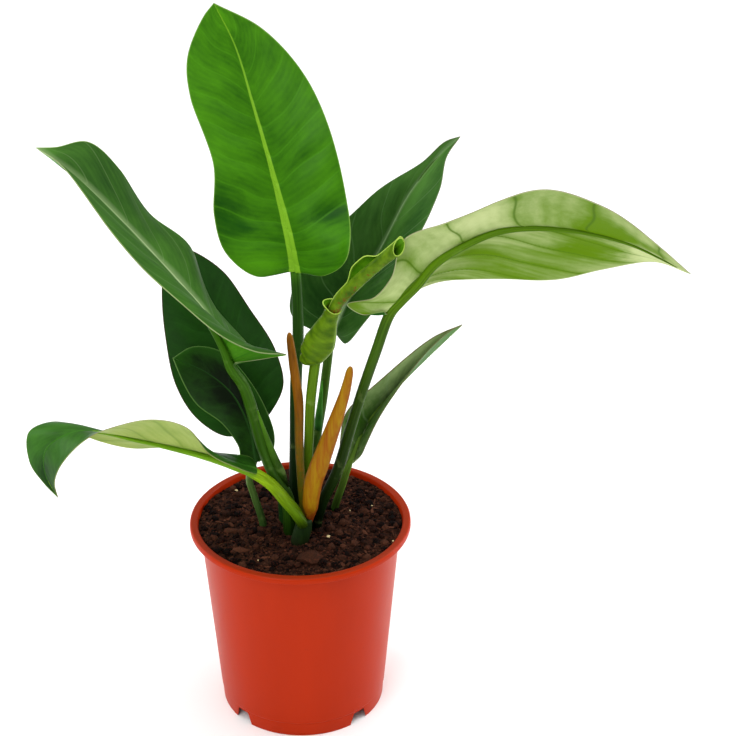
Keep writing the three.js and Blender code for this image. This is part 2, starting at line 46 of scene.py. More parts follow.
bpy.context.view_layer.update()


# ---- Studio: camera, floor and light ----
# The plant stands on white paper under large soft lamps, in a white room. The camera looks down on the pot
# from the front, through a long lens.

CAMERA_PLACE = (0.052, -1.302, 0.989)
CAMERA_PITCH = 28.2  # degrees down from level
LENS = 97.83  # millimetres, on a sensor 36 mm wide

bpy.ops.object.camera_add(location=CAMERA_PLACE, rotation=(math.radians(90 - CAMERA_PITCH), 0, 0))
camera = bpy.context.object
camera.name = "camera"
camera.data.lens = LENS
camera.data.sensor_width = 36
camera.data.clip_end = 20
bpy.context.scene.camera = camera
bpy.context.scene.view_settings.view_transform = "Standard"


def srgb(code):
    """An sRGB hex colour as the linear colour that the shaders take."""
    channels = [int(code[i : i + 2], 16) / 255 for i in (1, 3, 5)]
    return [c / 12.92 if c <= 0.04045 else ((c + 0.055) / 1.055) ** 2.4 for c in channels] + [1]


def add(tree, kind, inputs=(), **settings):
    """Adds one node with its settings. Its inputs are given by name, or in order. Each is a value, the hex
    code of a colour, a socket to link from, or a node, which is linked from its first output."""
    node = tree.nodes.new("ShaderNode" + kind)
    for key, value in settings.items():
        setattr(node, key, value)
    for key, value in inputs.items() if isinstance(inputs, dict) else enumerate(inputs):
        if isinstance(value, bpy.types.Node):
            value = value.outputs[0]
        if isinstance(value, bpy.types.NodeSocket):
            tree.links.new(value, node.inputs[key])
        else:
            node.inputs[key].default_value = srgb(value) if isinstance(value, str) else value
    return node


def new_material(name, *marks):
    """An empty material, its node tree, and in it the object's own coordinates, which are in metres, and the
    value of each mark that the mesh has at its points."""
    material = bpy.data.materials.new(name)
    material.use_nodes = True
    tree = material.node_tree
    tree.nodes.clear()
    values = [add(tree, "Attribute", attribute_name=mark).outputs["Fac"] for mark in marks]
    return material, tree, add(tree, "TexCoord").outputs["Object"], *values


def grain_of(size):
    """The scale of a pattern whose grain is this many millimetres across."""
    return 1000 / size


def studio_paper():
    """Seamless white paper: rough, very slightly mottled."""
    material, tree, place = new_material("studio_paper")
    mottle = add(tree, "TexNoise", {"Vector": place, "Scale": grain_of(166.7), "Detail": 2})
    colour = add(tree, "MixRGB", (mottle, "#F8F8F8", "#FDFDFD"))
    add(tree, "OutputMaterial", {"Surface": add(tree, "BsdfPrincipled", {
        "Base Color": colour, "Roughness": 0.9})})
    return material


bpy.ops.mesh.primitive_plane_add(size=8)
floor = bpy.context.object
floor.name = "floor"
floor.data.materials.append(studio_paper())

ROOM_LIGHT = 0.42  # strength of the white walls' light
LAMP_TARGET = Vector((0, 0, 0.25))
LAMPS = {
    # place, width and height, power in watts
    "top_lamp": ((0, 0.4, 2.8), (4.6, 4.6), 98),
    "key_lamp": ((-0.9, -1.9, 1.9), (1.4, 1.4), 30),
    "left_strip": ((-1.4, 0.5, 0.6), (0.5, 1.3), 8),
    "right_strip": ((1.4, 0.5, 0.6), (0.5, 1.3), 16),
}
for lamp_name, (lamp_place, lamp_size, lamp_power) in LAMPS.items():
    aim = (LAMP_TARGET - Vector(lamp_place)).to_track_quat("-Z", "Y").to_euler()
    bpy.ops.object.light_add(type="AREA", location=lamp_place, rotation=aim)
    lamp = bpy.context.object
    lamp.name = lamp_name
    lamp.data.shape = "RECTANGLE"
    lamp.data.size, lamp.data.size_y = lamp_size
    lamp.data.energy = lamp_power

room = bpy.data.worlds.new("white_room")
room.use_nodes = True
room.node_tree.nodes["Background"].inputs["Color"].default_value = (1, 1, 1, 1)
room.node_tree.nodes["Background"].inputs["Strength"].default_value = ROOM_LIGHT
bpy.context.scene.world = room


# ---- Pot ----
# A nursery pot, injection-moulded in red-orange polypropylene, a good millimetre thick. It has a rolled rim,
# and stands on a foot ring with four drain notches and on the flat middle of its floor.

MM = 0.001  # the sizes below are in millimetres, and each piece is made in metres
RIM_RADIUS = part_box("pot")[1].x / MM
POT_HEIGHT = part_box("pot")[1].z / MM
WALL_TOP = (76.8, 152)  # radius and height where the wall meets the rim
RIM_INSIDE = RIM_RADIUS - 6.6
BASE_RADIUS = 64
POT_WALL = 1.2
FLOOR = 2.4
FOOT = 11  # height of the foot ring
PAD_RADIUS = 36
NOTCH = {"count": 4, "turn": 44.5, "width": 17, "top_width": 11, "height": 10.4, "inner": 6, "outer": 4}
NOTCH_ROUNDING = 0.9
DRAIN = {"radius": 4.5, "circle": 53}  # a hole behind each notch, centred on a circle of this radius
RIM_TOP_PAINTED_SHADE = (POT_HEIGHT - 1, POT_HEIGHT - 0.2)  # heights over which the rim's top is painted darker: painted shade
ARC_STEPS = 5
SPIN_STEPS = 192


def wall_radius(z):
    """Outer radius of the pot's wall at a height."""
    return BASE_RADIUS + (WALL_TOP[0] - BASE_RADIUS) * z / WALL_TOP[1]


def rounded(corners):
    """An outline of (x, z, radius) corners, with an arc in place of each corner that has a radius."""
    outline = []
    for k, (x, z, radius) in enumerate(corners):
        if not radius:
            outline.append((x, z))
            continue
        here = Vector((x, z))
        before = (Vector(corners[k - 1][:2]) - here).normalized()
        after = (Vector(corners[k + 1][:2]) - here).normalized()
        half = before.angle(after) / 2
        centre = here + (before + after).normalized() * radius / math.sin(half)
        start = (here + before * radius / math.tan(half) - centre).normalized()
        end = (here + after * radius / math.tan(half) - centre).normalized()
        for step in range(ARC_STEPS + 1):
            outline.append(tuple(centre + start.slerp(end, step / ARC_STEPS) * radius))
    return outline


def pick(*pieces):
    """Selects these pieces and no others, with the first one active."""
    bpy.ops.object.select_all(action="DESELECT")
    for piece in pieces:
        piece.select_set(True)
    bpy.context.view_layer.objects.active = pieces[0]


def edit_all():
    """Opens the active piece for editing, with all of its mesh selected."""
    bpy.ops.object.mode_set(mode="EDIT")
    bpy.ops.mesh.select_all(action="SELECT")


def spun(name, outline):
    """A closed body of revolution, spun round the z axis from an outline of (radius, height)."""
    mesh = bpy.data.meshes.new(name)
    points = [(x * MM, 0, z * MM) for x, z in outline]
    mesh.from_pydata(points, [(i, i + 1) for i in range(len(points) - 1)], [])
    piece = bpy.data.objects.new(name, mesh)
    bpy.context.scene.collection.objects.link(piece)
    pick(piece)
    edit_all()
    bpy.ops.mesh.spin(steps=SPIN_STEPS, angle=math.tau, center=(0, 0, 0), axis=(0, 0, 1))
    bpy.ops.mesh.select_all(action="SELECT")
    bpy.ops.mesh.remove_doubles(threshold=1e-6)
    bpy.ops.mesh.normals_make_consistent(inside=False)
    bpy.ops.object.mode_set(mode="OBJECT")
    return piece


def cut(piece, cutters):
    """Cuts each cutter out of the piece."""
    for cutter in cutters:
        modifier = piece.modifiers.new("cut", "BOOLEAN")
        modifier.object = cutter
        modifier.operation = "DIFFERENCE"
        modifier.solver = "EXACT"
        bpy.context.view_layer.objects.active = piece
        bpy.ops.object.modifier_apply(modifier="cut")
        bpy.data.objects.remove(cutter)


def finish_piece(piece, node, smooth=40):
    """Smooths a piece up to an angle in degrees, and lets it stand for a node of the frame, if it has one."""
    pick(piece)
    bpy.ops.object.shade_smooth_by_angle(angle=math.radians(smooth))
    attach(piece, "root")
    if node:
        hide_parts(node)
    bpy.ops.object.select_all(action="DESELECT")


def moulded_polypropylene():
    """Injection-moulded polypropylene: a satin skin over even colour, with faint flow marks and handling
    scuffs, and painted shade darkening the rim's top. The grain of the mould and the dust are drawn coarser
    than real, so that they show."""
    material, tree, place = new_material("moulded_polypropylene")
    flow_place = add(tree, "Mapping", {"Vector": place, "Scale": (1, 1, 0.25)})
    flow = add(tree, "TexNoise", {
        "Vector": flow_place, "Scale": grain_of(29.4), "Detail": 4, "Roughness": 0.6})
    grain = add(tree, "TexNoise", {"Vector": place, "Scale": grain_of(1.111), "Detail": 2})
    speckle = add(tree, "TexNoise", {
        "Vector": place, "Scale": grain_of(3.846), "Detail": 5, "Roughness": 0.7})
    dust = add(tree, "MapRange", (speckle, 0.62, 0.74, 0, 0.35))
    body = add(tree, "MixRGB", (flow, "#A42704", "#B52D06"))
    worn = add(tree, "MixRGB", (dust, body, "#8E2A12"))
    height = add(tree, "SeparateXYZ", {0: place}).outputs["Z"]
    # Painted shade: the rim's top is mixed to a darker red.
    top = add(tree, "MapRange", (height, RIM_TOP_PAINTED_SHADE[0] * MM, RIM_TOP_PAINTED_SHADE[1] * MM))
    skin_colour = add(tree, "MixRGB", (top, worn, "#8C280A"))
    gloss = add(tree, "MapRange", (flow, 0.3, 0.7, 0.3, 0.42))
    relief = add(tree, "Math", (grain, 0.4, flow), operation="MULTIPLY_ADD")
    bump = add(tree, "Bump", {"Height": relief, "Strength": 0.12, "Distance": 0.0006})
    add(tree, "OutputMaterial", {"Surface": add(tree, "BsdfPrincipled", {
        "Base Color": skin_colour, "Roughness": gloss, "Specular IOR Level": 0.07, "Normal": bump})})
    return material


def pot():
    """The pot's shell, its notches and its drain holes."""
    inner_floor = FOOT + FLOOR
    # From the middle of the underside outwards, up the outside, over the rim, and down the inside.
    shell = spun("nursery_pot", rounded([
        (0, 0, 0), (PAD_RADIUS, 0, 1.5), (PAD_RADIUS + 6, FOOT, 2), (wall_radius(FOOT) - POT_WALL, FOOT, 1),
        (BASE_RADIUS - POT_WALL, 0, 0.4), (BASE_RADIUS - 0.2, 0, 0.5), (wall_radius(12) - 0.5, 12, 0.4),
        (wall_radius(12.8), 12.8, 0.4), (*WALL_TOP, 1.2), (RIM_RADIUS - 2.4, 155, 0.9),
        (RIM_RADIUS - 1.6, 155.2, 0.3), (RIM_RADIUS, 156, 0.6), (RIM_RADIUS - 0.1, POT_HEIGHT, 2.4),
        (RIM_RADIUS - 6, POT_HEIGHT, 1.4), (RIM_INSIDE, 155.6, 1), (WALL_TOP[0] - POT_WALL, 152.4, 1.5),
        (wall_radius(inner_floor) - POT_WALL, inner_floor, 2), (PAD_RADIUS + 5, inner_floor, 2),
        (PAD_RADIUS - 1, FLOOR, 1), (0, FLOOR, 0)]))
    cutters = []
    for k in range(NOTCH["count"]):
        turn = math.radians(NOTCH["turn"] + 360 / NOTCH["count"] * k + 90)
        bpy.ops.mesh.primitive_cube_add(size=1)
        wedge = bpy.context.object
        for vertex in wedge.data.vertices:
            x, y, z = vertex.co
            width = NOTCH["width"] if z < 0 else NOTCH["top_width"]
            reach = -NOTCH["inner"] if x < 0 else NOTCH["outer"]
            vertex.co = Vector((BASE_RADIUS + reach, y * width, -0.5 if z < 0 else NOTCH["height"])) * MM
        edit_all()
        bpy.ops.mesh.bevel(offset=NOTCH_ROUNDING * MM, segments=3, affect="EDGES")
        bpy.ops.object.mode_set(mode="OBJECT")
        bpy.ops.mesh.primitive_cylinder_add(radius=DRAIN["radius"] * MM, depth=10 * MM, vertices=32,
                                            location=(DRAIN["circle"] * MM, 0, (FOOT + FLOOR / 2) * MM))
        hole = bpy.context.object
        for cutter in (wedge, hole):
            cutter.data.transform(Matrix.Rotation(turn, 4, "Z") @ cutter.matrix_world)
            cutter.matrix_world = Matrix.Identity(4)
            cutters.append(cutter)
    cut(shell, cutters)
    shell.data.materials.append(moulded_polypropylene())
    finish_piece(shell, "pot", 30)


pot()


# ---- Soil ----
# Moist peat and bark potting mix, filled to about 4 mm under the rim. Crumbs, slivers of bark and a few
# grains of perlite lie loose on top of it.

SOIL_TOP = 156.2
SOIL_MOUND = 2
SOIL_EDGE = RIM_INSIDE - 0.1
SOIL_LUMPS = ((26, 1.3), (9, 0.9), (3.4, 0.7), (1.6, 0.35))  # width and height
SOIL_SEED = 7
# How many, their sizes, the share that is sunk, and from how dark to how light.
CRUMBS = (3600, (0.45, 1.5), 0.3, (-0.6, 0.5))
LUMPS = (420, (1.4, 4), 0.45, (-0.6, 0.3))
SLIVERS = (300, (2, 5), 0.4, (-0.3, 0.6))
# The larger pieces that stand out: a round lump before the stem, and chips of bark near the left wall. Each
# has its place, size, proportions and tone.
CHIPS = [((9, -54), 9, (1, 0.85, 0.55), 0.1), ((-44, -41), 6.5, (1, 0.4, 0.3), 0.5),
         ((-52, -14), 7, (1, 0.45, 0.28), 0.25), ((-48, 40), 7, (1, 0.4, 0.25), 0.1)]
# Grains of perlite: place and size.
PERLITE = [(-52, 45, 1.3), (22, -24, 1.7), (71, -27, 1.1), (38, 14, 0.8), (-30, -55, 0.8), (55, 22, 0.8)]


def skin(name, points, marks=(), material=None):
    """A sheet or tube: a grid primitive whose points are put in place, rows x columns, with a value of each
    mark at each point. Points in one place are merged, which closes seams and ends."""
    rows, columns = points.shape[:2]
    bpy.ops.mesh.primitive_grid_add(x_subdivisions=columns - 1, y_subdivisions=rows - 1, size=1)
    piece = bpy.context.object
    piece.name = name
    piece.data.vertices.foreach_set("co", (points * MM).reshape(-1))
    for mark, values in dict(marks).items():
        layer = piece.data.attributes.new(mark, "FLOAT", "POINT")
        layer.data.foreach_set("value", np.broadcast_to(values, (rows, columns)).reshape(-1))
    if material:
        piece.data.materials.append(material)
    edit_all()
    bpy.ops.mesh.remove_doubles(threshold=2e-6)
    bpy.ops.object.mode_set(mode="OBJECT")
    return piece


def soil_height(x, y):
    """Height of the soil's lumpy surface."""
    radius = math.hypot(x, y)
    rise = SOIL_MOUND * (1 - radius / SOIL_EDGE)
    for size, height in SOIL_LUMPS:
        rise += height * noise.noise(Vector((x / size, y / size, SOIL_SEED + size)))
    return SOIL_TOP + rise


def potting_mix():
    """Peat and composted bark: rough, dark and damp, in clods, with rusty fibres drawn thicker than real."""
    material, tree, place, tone = new_material("potting_mix", "tone")
    clod = add(tree, "TexNoise", {"Vector": place, "Scale": grain_of(5.263), "Detail": 6, "Roughness": 0.72})
    fibre = add(tree, "TexNoise", {"Vector": place, "Scale": grain_of(1.4286), "Detail": 4, "Distortion": 2})
    lit = add(tree, "Math", (clod, tone), operation="ADD")
    shade = add(tree, "MapRange", (lit, 0.25, 1.2))
    base = add(tree, "MixRGB", (shade, "#060302", "#5A3626"))
    rust = add(tree, "MapRange", (fibre, 0.58, 0.72, 0, 0.5))
    mixed = add(tree, "MixRGB", (rust, base, "#7C3624"))
    height = add(tree, "Math", (fibre, 0.5, clod), operation="MULTIPLY_ADD")
    bump = add(tree, "Bump", {"Height": height, "Strength": 0.9, "Distance": 0.0014})
    damp = add(tree, "MapRange", (clod, 0.3, 0.7, 0.65, 1))
    add(tree, "OutputMaterial", {"Surface": add(tree, "BsdfPrincipled", {
        "Base Color": mixed, "Roughness": damp, "Specular IOR Level": 0.06, "Normal": bump})})
    return material


def perlite():
    """Expanded volcanic glass, stained by the peat: pale, matt and pitted."""
    material, tree, place = new_material("perlite")
    pits = add(tree, "TexNoise", {"Vector": place, "Scale": grain_of(0.6667), "Detail": 3})
    colour = add(tree, "MixRGB", (pits, "#B09A6A", "#EED9A4"))
    bump = add(tree, "Bump", {"Height": pits, "Strength": 0.6, "Distance": 0.0004})
    add(tree, "OutputMaterial", {"Surface": add(tree, "BsdfPrincipled", {
        "Base Color": colour, "Roughness": 0.9, "Normal": bump})})
    return material


POTTING_MIX = potting_mix()


def soil_bed():
    """The body of the soil: its lumpy top, then down the wall and across the floor."""
    turns = np.linspace(0, math.tau, 361)
    rings = []
    for radius in SOIL_EDGE * np.linspace(0, 1, 96):
        ring = [(radius * math.cos(a), radius * math.sin(a)) for a in turns[:-1]]
        ring.append(ring[0])
        rings.append([(x, y, soil_height(x, y)) for x, y in ring])
    floor_top = FOOT + FLOOR + 0.35
    wall_foot = wall_radius(floor_top) - 1.6
    for radius, z in ((SOIL_EDGE, 155.6), (WALL_TOP[0] - 1.5, 152.4), (wall_foot, floor_top), (0, floor_top)):
        rings.append([(radius * math.cos(a), radius * math.sin(a), z) for a in turns])
    points = np.array(rings[::-1])
    points[:, -1] = points[:, 0]
    bed = skin("soil_bed", points, {"tone": -0.05}, POTTING_MIX)
    finish_piece(bed, "soil", 60)


def shape(kind, stretch, seed):
    """The points and faces of one small crumb, sliver or grain, dented at random."""
    bpy.ops.mesh.primitive_ico_sphere_add(subdivisions=2 if kind == "lump" else 1, radius=1)
    edit_all()
    bpy.ops.transform.vertex_random(offset=0.32, seed=seed)
    bpy.ops.transform.resize(value=stretch)
    bpy.ops.object.mode_set(mode="OBJECT")
    crumb = bpy.context.object
    points = np.array([v.co for v in crumb.data.vertices])
    faces = np.array([p.vertices for p in crumb.data.polygons])
    bpy.data.objects.remove(crumb)
    return points, faces


def scattered(name, shapes, places, material):
    """Copies of small shapes in one piece. A place is a centre, a size, a turn and a tone."""
    points, faces, tones, count = [], [], [], 0
    for k, (centre, size, turn, tone) in enumerate(places):
        crumb, sides = shapes[k % len(shapes)]
        points.append(crumb @ np.array(turn.to_matrix()).T * size + centre)
        faces.append(sides + count)
        tones.append(np.full(len(crumb), tone))
        count += len(crumb)
    mesh = bpy.data.meshes.new(name)
    mesh.from_pydata((np.vstack(points) * MM).tolist(), [], np.vstack(faces).tolist())
    mesh.attributes.new("tone", "FLOAT", "POINT").data.foreach_set("value", np.concatenate(tones))
    piece = bpy.data.objects.new(name, mesh)
    bpy.context.scene.collection.objects.link(piece)
    mesh.materials.append(material)
    finish_piece(piece, None, 50)


def on_soil(draw, count, sizes, sunk, tones):
    """Random places on the soil for loose pieces, thinner towards the wall."""
    places = []
    for _ in range(count):
        radius = (SOIL_EDGE - 0.6) * math.sqrt(draw.random())
        angle = draw.uniform(0, math.tau)
        size = draw.uniform(*sizes)
        radius = min(radius, SOIL_EDGE - size)
        x, y = radius * math.cos(angle), radius * math.sin(angle)
        turn = Matrix.Rotation(draw.uniform(0, math.tau), 3, "Z")
        turn = turn @ Matrix.Rotation(draw.uniform(-0.4, 0.4), 3, "X")
        centre = (x, y, soil_height(x, y) + size * (0.5 - sunk))
        places.append((centre, size, turn.to_quaternion(), draw.uniform(*tones)))
    return places


def loose_soil():
    """Crumbs and lumps, bark slivers and perlite."""
    draw = random.Random(SOIL_SEED)
    crumbs = [shape("crumb", (1, draw.uniform(0.7, 1), draw.uniform(0.6, 0.9)), k) for k in range(1, 7)]
    lumps = [shape("lump", (1, draw.uniform(0.8, 1), draw.uniform(0.6, 0.8)), k) for k in range(11, 15)]
    slivers = [shape("sliver", (1, draw.uniform(0.1, 0.3), draw.uniform(0.08, 0.16)), k)
               for k in range(21, 26)]
    scattered("soil_crumbs", crumbs, on_soil(draw, *CRUMBS), POTTING_MIX)
    scattered("soil_lumps", lumps, on_soil(draw, *LUMPS), POTTING_MIX)
    scattered("bark_slivers", slivers, on_soil(draw, *SLIVERS), POTTING_MIX)
    still = Vector((0, 0, 1)).to_track_quat("Z", "Y")
    for k, ((x, y), size, stretch, tone) in enumerate(CHIPS):
        place = ((x, y, soil_height(x, y) + size * stretch[2] * 0.3), size, still, tone)
        scattered(f"bark_chip_{k + 1}", [shape("lump", stretch, 31 + k)], [place], POTTING_MIX)
    grains = [((x, y, soil_height(x, y) + size * 0.6), size, still, 0) for x, y, size in PERLITE]
    scattered("perlite_grains", crumbs, grains, perlite())


soil_bed()
loose_soil()


# ---- Stem ----
# The short green stem that the leaves grow from, ringed by the scars of old ones. It stands in the soil, and
# the lowest leaf and the right-hand dry sheath are seated in it.

STEM_LINE = [(-1, -30, 118), (-1, -29, 140), (0, -29, 156), (3, -27, 168), (4, -26, 177)]
STEM_RADII = [6, 6.2, 6.5, 6.6, 6]
STEM_CORK = (0.154, 0.166)  # heights in metres over which the corky foot turns green
TUBE_SIDES = 24


def through(points):
    """A smooth line through the given points: a function of the share of its length."""
    given = np.array(points, float)
    given = np.vstack([2 * given[0] - given[1], given, 2 * given[-1] - given[-2]])
    gaps = np.linalg.norm(np.diff(given, axis=0), axis=1) ** 0.5
    t = np.linspace(0, 1, 40, endpoint=False)[:, None]
    runs = []
    for i in range(1, len(given) - 2):
        p0, p1, p2, p3 = given[i - 1 : i + 3]
        d0, d1, d2 = gaps[i - 1 : i + 2]
        out = ((p1 - p0) / d0 - (p2 - p0) / (d0 + d1) + (p2 - p1) / d1) * d1
        into = ((p2 - p1) / d1 - (p3 - p1) / (d1 + d2) + (p3 - p2) / d2) * d1
        runs.append(p1 + out * t + (3 * (p2 - p1) - 2 * out - into) * t**2
                    + (2 * (p1 - p2) + out + into) * t**3)
    line = np.vstack([*runs, given[-2]])
    length = np.concatenate([[0], np.cumsum(np.linalg.norm(np.diff(line, axis=0), axis=1))])

    def at(share):
        reach = share * length[-1]
        return np.stack([np.interp(reach, length, line[:, k]) for k in range(3)], -1)

    at.length = length[-1]
    return at


def unit(vectors):
    """The vectors at length 1."""
    return vectors / np.maximum(np.linalg.norm(vectors, axis=-1, keepdims=True), 1e-9)


def frames(line, shares, facing):
    """Middle, front, side and direction of a line at shares of its length. The front is kept to `facing`."""
    tangent = unit(line(np.minimum(shares + 0.004, 1)) - line(np.maximum(shares - 0.004, 0)))
    facing = np.broadcast_to(facing, tangent.shape)
    front = unit(facing - tangent * np.sum(facing * tangent, -1, keepdims=True))
    return line(shares), front, np.cross(tangent, front), tangent


def around(middle, front, side, angle, reach):
    """Points round a line, each at an angle from its front and a distance from its middle."""
    return middle[:, None] + reach * (np.cos(angle)[..., None] * front[:, None]
                                      + np.sin(angle)[..., None] * side[:, None])


def spread(values, shares):
    """A list of evenly spaced values, read at each share."""
    return np.interp(shares, np.linspace(0, 1, len(values)), values)


def tube(name, line, shares, radii, facing, section, material, marks=()):
    """A closed tube along a line, whose section is a function of the angle from the front."""
    middle, front, side, _ = frames(line, shares, facing)
    angle = np.linspace(0, math.tau, TUBE_SIDES + 1)[None, :]
    reach = radii[:, None] * section(angle)
    points = around(middle, front, side, angle, reach[..., None])
    points[:, -1] = points[:, 0]
    return skin(name, points, {"round_x": np.cos(angle), "round_y": np.sin(angle), **dict(marks)}, material)


def stem_skin():
    """Living stem: smooth green skin, brown and corky towards the soil."""
    material, tree, place = new_material("stem_skin")
    height = add(tree, "SeparateXYZ", {0: place}).outputs["Z"]
    streak_place = add(tree, "Mapping", {"Vector": place, "Scale": (1, 1, 0.2)})
    streak = add(tree, "TexNoise", {"Vector": streak_place, "Scale": grain_of(2), "Detail": 4})
    green = add(tree, "MixRGB", (streak, "#0A1806", "#1C320E"))
    low = add(tree, "MapRange", (height, *STEM_CORK, 0.8, 0))
    skin_colour = add(tree, "MixRGB", (low, green, "#140C06"))
    bump = add(tree, "Bump", {"Height": streak, "Strength": 0.4, "Distance": 0.0006})
    add(tree, "OutputMaterial", {"Surface": add(tree, "BsdfPrincipled", {
        "Base Color": skin_colour, "Roughness": 0.55, "Specular IOR Level": 0.06, "Normal": bump})})
    return material


def stem():
    """The stem, with its leaf scars."""
    line = through(STEM_LINE)
    shares = np.concatenate([[0, 0.001], np.linspace(0.01, 0.97, 70), [0.985, 0.995, 1]])
    radii = spread(STEM_RADII, shares) * (1 + 0.035 * np.abs(np.sin(shares * 21)) ** 0.4)
    radii[0] = radii[-1] = 0
    radii[-3:-1] *= (0.9, 0.65)
    trunk = tube("stem_stump", line, shares, radii, (0, -1, 0), lambda a: 1 + 0.03 * np.sin(3 * a + 1),
                 stem_skin())
    finish_piece(trunk, "stem")


stem()


# ---- Leaves ----
# Each grew as one piece: a long firm stalk that runs on as the midrib, and a thin glossy blade with side
# veins. A blade is described by its midrib and its two edges, all from the stalk to the tip, left and right
# being as seen on its upper face. Its side veins bend towards the tip.

BLADE_ROWS = 176
BLADE_COLUMNS = 73
BLADE_THICKNESS = 0.55
STEP_POWER = 1.25  # the rows are closer at the basal lobes
LOBE_PULL = 1.4  # draws the side veins of the basal lobes together at the stalk
RIB_SHARES = [0.06, 0.14, 0.22, 0.3, 0.45, 0.62, 0.8, 0.96]  # places that the thick midrib passes under
RIB_DROPS = [3.2, 2.6, 2.1, 1.7, 1.2, 0.85, 0.6, 0.3]  # of its middle below the blade there
VEIN_WANDER = (1.3, 0.9)  # how far the side veins stray, in a slow wave and a quick one
VEIN_CREASE = 1.7  # half the width of the crease along a side vein
FINE_VEINS = 5  # from one side vein to the next
UNDER_LOOK = {"show": 0.5, "halo": 0.2, "gloss": (0.45, 0.6)}  # undersides are duller, with plainer veins and painted shade in their creases
EASED = {"interpolation_type": "SMOOTHSTEP"}  # for a range with soft ends


def grid_normals(points):
    """The upper face's normal at each point of a grid."""
    normals = unit(np.cross(np.gradient(points, axis=1), np.gradient(points, axis=0)))
    normals[-1] = normals[-2]
    return normals


def bump_at(v, u, spots):
    """Sum of smooth bumps, each (across, along, reach across, reach along, height)."""
    total = np.zeros(np.broadcast(v, u).shape)
    for v0, u0, reach_v, reach_u, height in spots:
        total += height * np.exp(-(((v - v0) / reach_v) ** 2) - ((u - u0) / reach_u) ** 2)
    return total


def blade_grid(leaf):
    """Points of the blade's middle surface, their normals, and its marks."""
    # u runs from the stalk to the tip, and v from the left edge at -1 to the right one at 1.
    u = np.linspace(0, 1, BLADE_ROWS)[:, None] ** STEP_POWER
    w = np.linspace(-1, 1, BLADE_COLUMNS)[None, :]
    v = np.sign(w) * np.abs(w) ** 1.2
    tip = leaf["rib"][-1]
    rib = through(leaf["rib"])((u[:, 0]) ** LOBE_PULL)[:, None]
    left = through([*leaf["left"], tip])(u[:, 0])[:, None]
    right = through([*leaf["right"], tip])(u[:, 0])[:, None]
    edge = np.where(v[..., None] < 0, left, right)
    flat = rib + (edge - rib) * np.abs(v)[..., None]
    span = np.linalg.norm(edge - rib, axis=-1)
    # The vein count: whole numbers are the side veins, which leave the midrib and bend towards the tip.
    spacing = through(leaf["rib"]).length / leaf["veins"]
    slow, quick = VEIN_WANDER
    wander = slow * np.sin(3.1 * v + 11 * u + leaf["veins"]) + quick * np.sin(7.3 * v - 23 * u)
    offset = 0.25 * np.tanh(v / 0.06)  # so that left and right veins leave the midrib by turns
    bend = np.where(v < 0, *leaf.get("bend", (0.07, 0.07)))
    count = leaf["veins"] * (u - bend * np.abs(v) ** 1.2) + wander / spacing + offset
    near = np.abs(count - np.round(count))
    vein = np.exp(-((near * spacing / VEIN_CREASE) ** 2)) * (1 - np.abs(v) ** 3)
    fade = np.sin(np.pi * np.minimum(u + 0.08, 1))
    wave_height, wave_count, wave_phase = leaf["wave"]
    wave = wave_height * v**2 * np.sin(2 * np.pi * (wave_count * u + wave_phase + np.where(v < 0, 0, 0.5)))
    rise = fade * (4 * leaf["arch"] * np.abs(v) * (1 - np.abs(v)) + wave)
    rise = rise + bump_at(v, u, leaf.get("folds", ()))
    rise += leaf.get("quilt", 0.5) * (np.sin(np.pi * count) ** 2 - 0.5) * fade * np.sin(np.pi * np.abs(v))
    rise -= leaf.get("relief", 0.3) * vein * fade
    width = leaf["rib_width"] * (1 - u) ** 1.5 + 0.3
    gap = np.abs(v) * span - width
    rise += 0.35 * np.clip(-gap / width, 0, 1) ** 0.5
    points = flat + grid_normals(flat) * rise[..., None]
    points[-1] = tip
    # The tone mark holds patches laid into the colour: the leaf's own paler and yellower patches, and on some
    # leaves painted shade in folds and hollows, and painted highlights.
    marks = {
        "rib_gap": gap, "edge_gap": (1 - np.abs(v)) * span, "vein": count, "across": v, "along": u,
        "tone": bump_at(v, u, leaf.get("tones", ())),
    }
    return points, grid_normals(points), marks


def stalk_line(leaf, points, normals):
    """The stalk's line, carried on under the blade to its tip, and the share of it that stands free."""
    middle = BLADE_COLUMNS // 2
    rib = through(leaf["rib"])
    rows = [round(s ** (1 / LOBE_PULL / STEP_POWER) * (BLADE_ROWS - 1)) for s in RIB_SHARES]
    under = [rib(s) - normals[row, middle] * drop for s, row, drop in zip(RIB_SHARES, rows, RIB_DROPS)]
    join = np.array(leaf["rib"][0]) - normals[rows[0], middle] * (RIB_DROPS[0] + leaf.get("seat", 0.3))
    line = through([*leaf["stalk"], join, *under])
    return line, through([*leaf["stalk"], leaf["rib"][0]]).length / line.length


def petiole_section(angle):
    """A leaf stalk's section: round, flattened in front, with a soft edge on each side of the flat."""
    turned = np.where(angle > np.pi, angle - math.tau, angle)
    edges = np.exp(-(((np.abs(turned) - 1.05) / 0.3) ** 2))
    return 1 - 0.16 * np.clip(np.cos(turned), 0, 1) ** 3 + 0.06 * edges


def leaf_stalk(name, leaf, points, normals):
    """The stalk and midrib of a leaf."""
    line, free = stalk_line(leaf, points, normals)
    shares = np.concatenate([[0], np.linspace(0.002, 0.998, round(line.length / 3)), [1]])
    beyond = np.clip((shares - free) / (1 - free), 0, 1)
    radii = spread(leaf["radii"], shares / free) * (1 - 0.92 * beyond ** leaf.get("taper", 0.45))
    radii[0] = radii[-1] = 0
    facing = normals[6, BLADE_COLUMNS // 2]
    return tube(name, line, shares, radii, facing, petiole_section, petiole(name, *leaf["stalk_colours"]),
                {"tone": shares[:, None] / free})


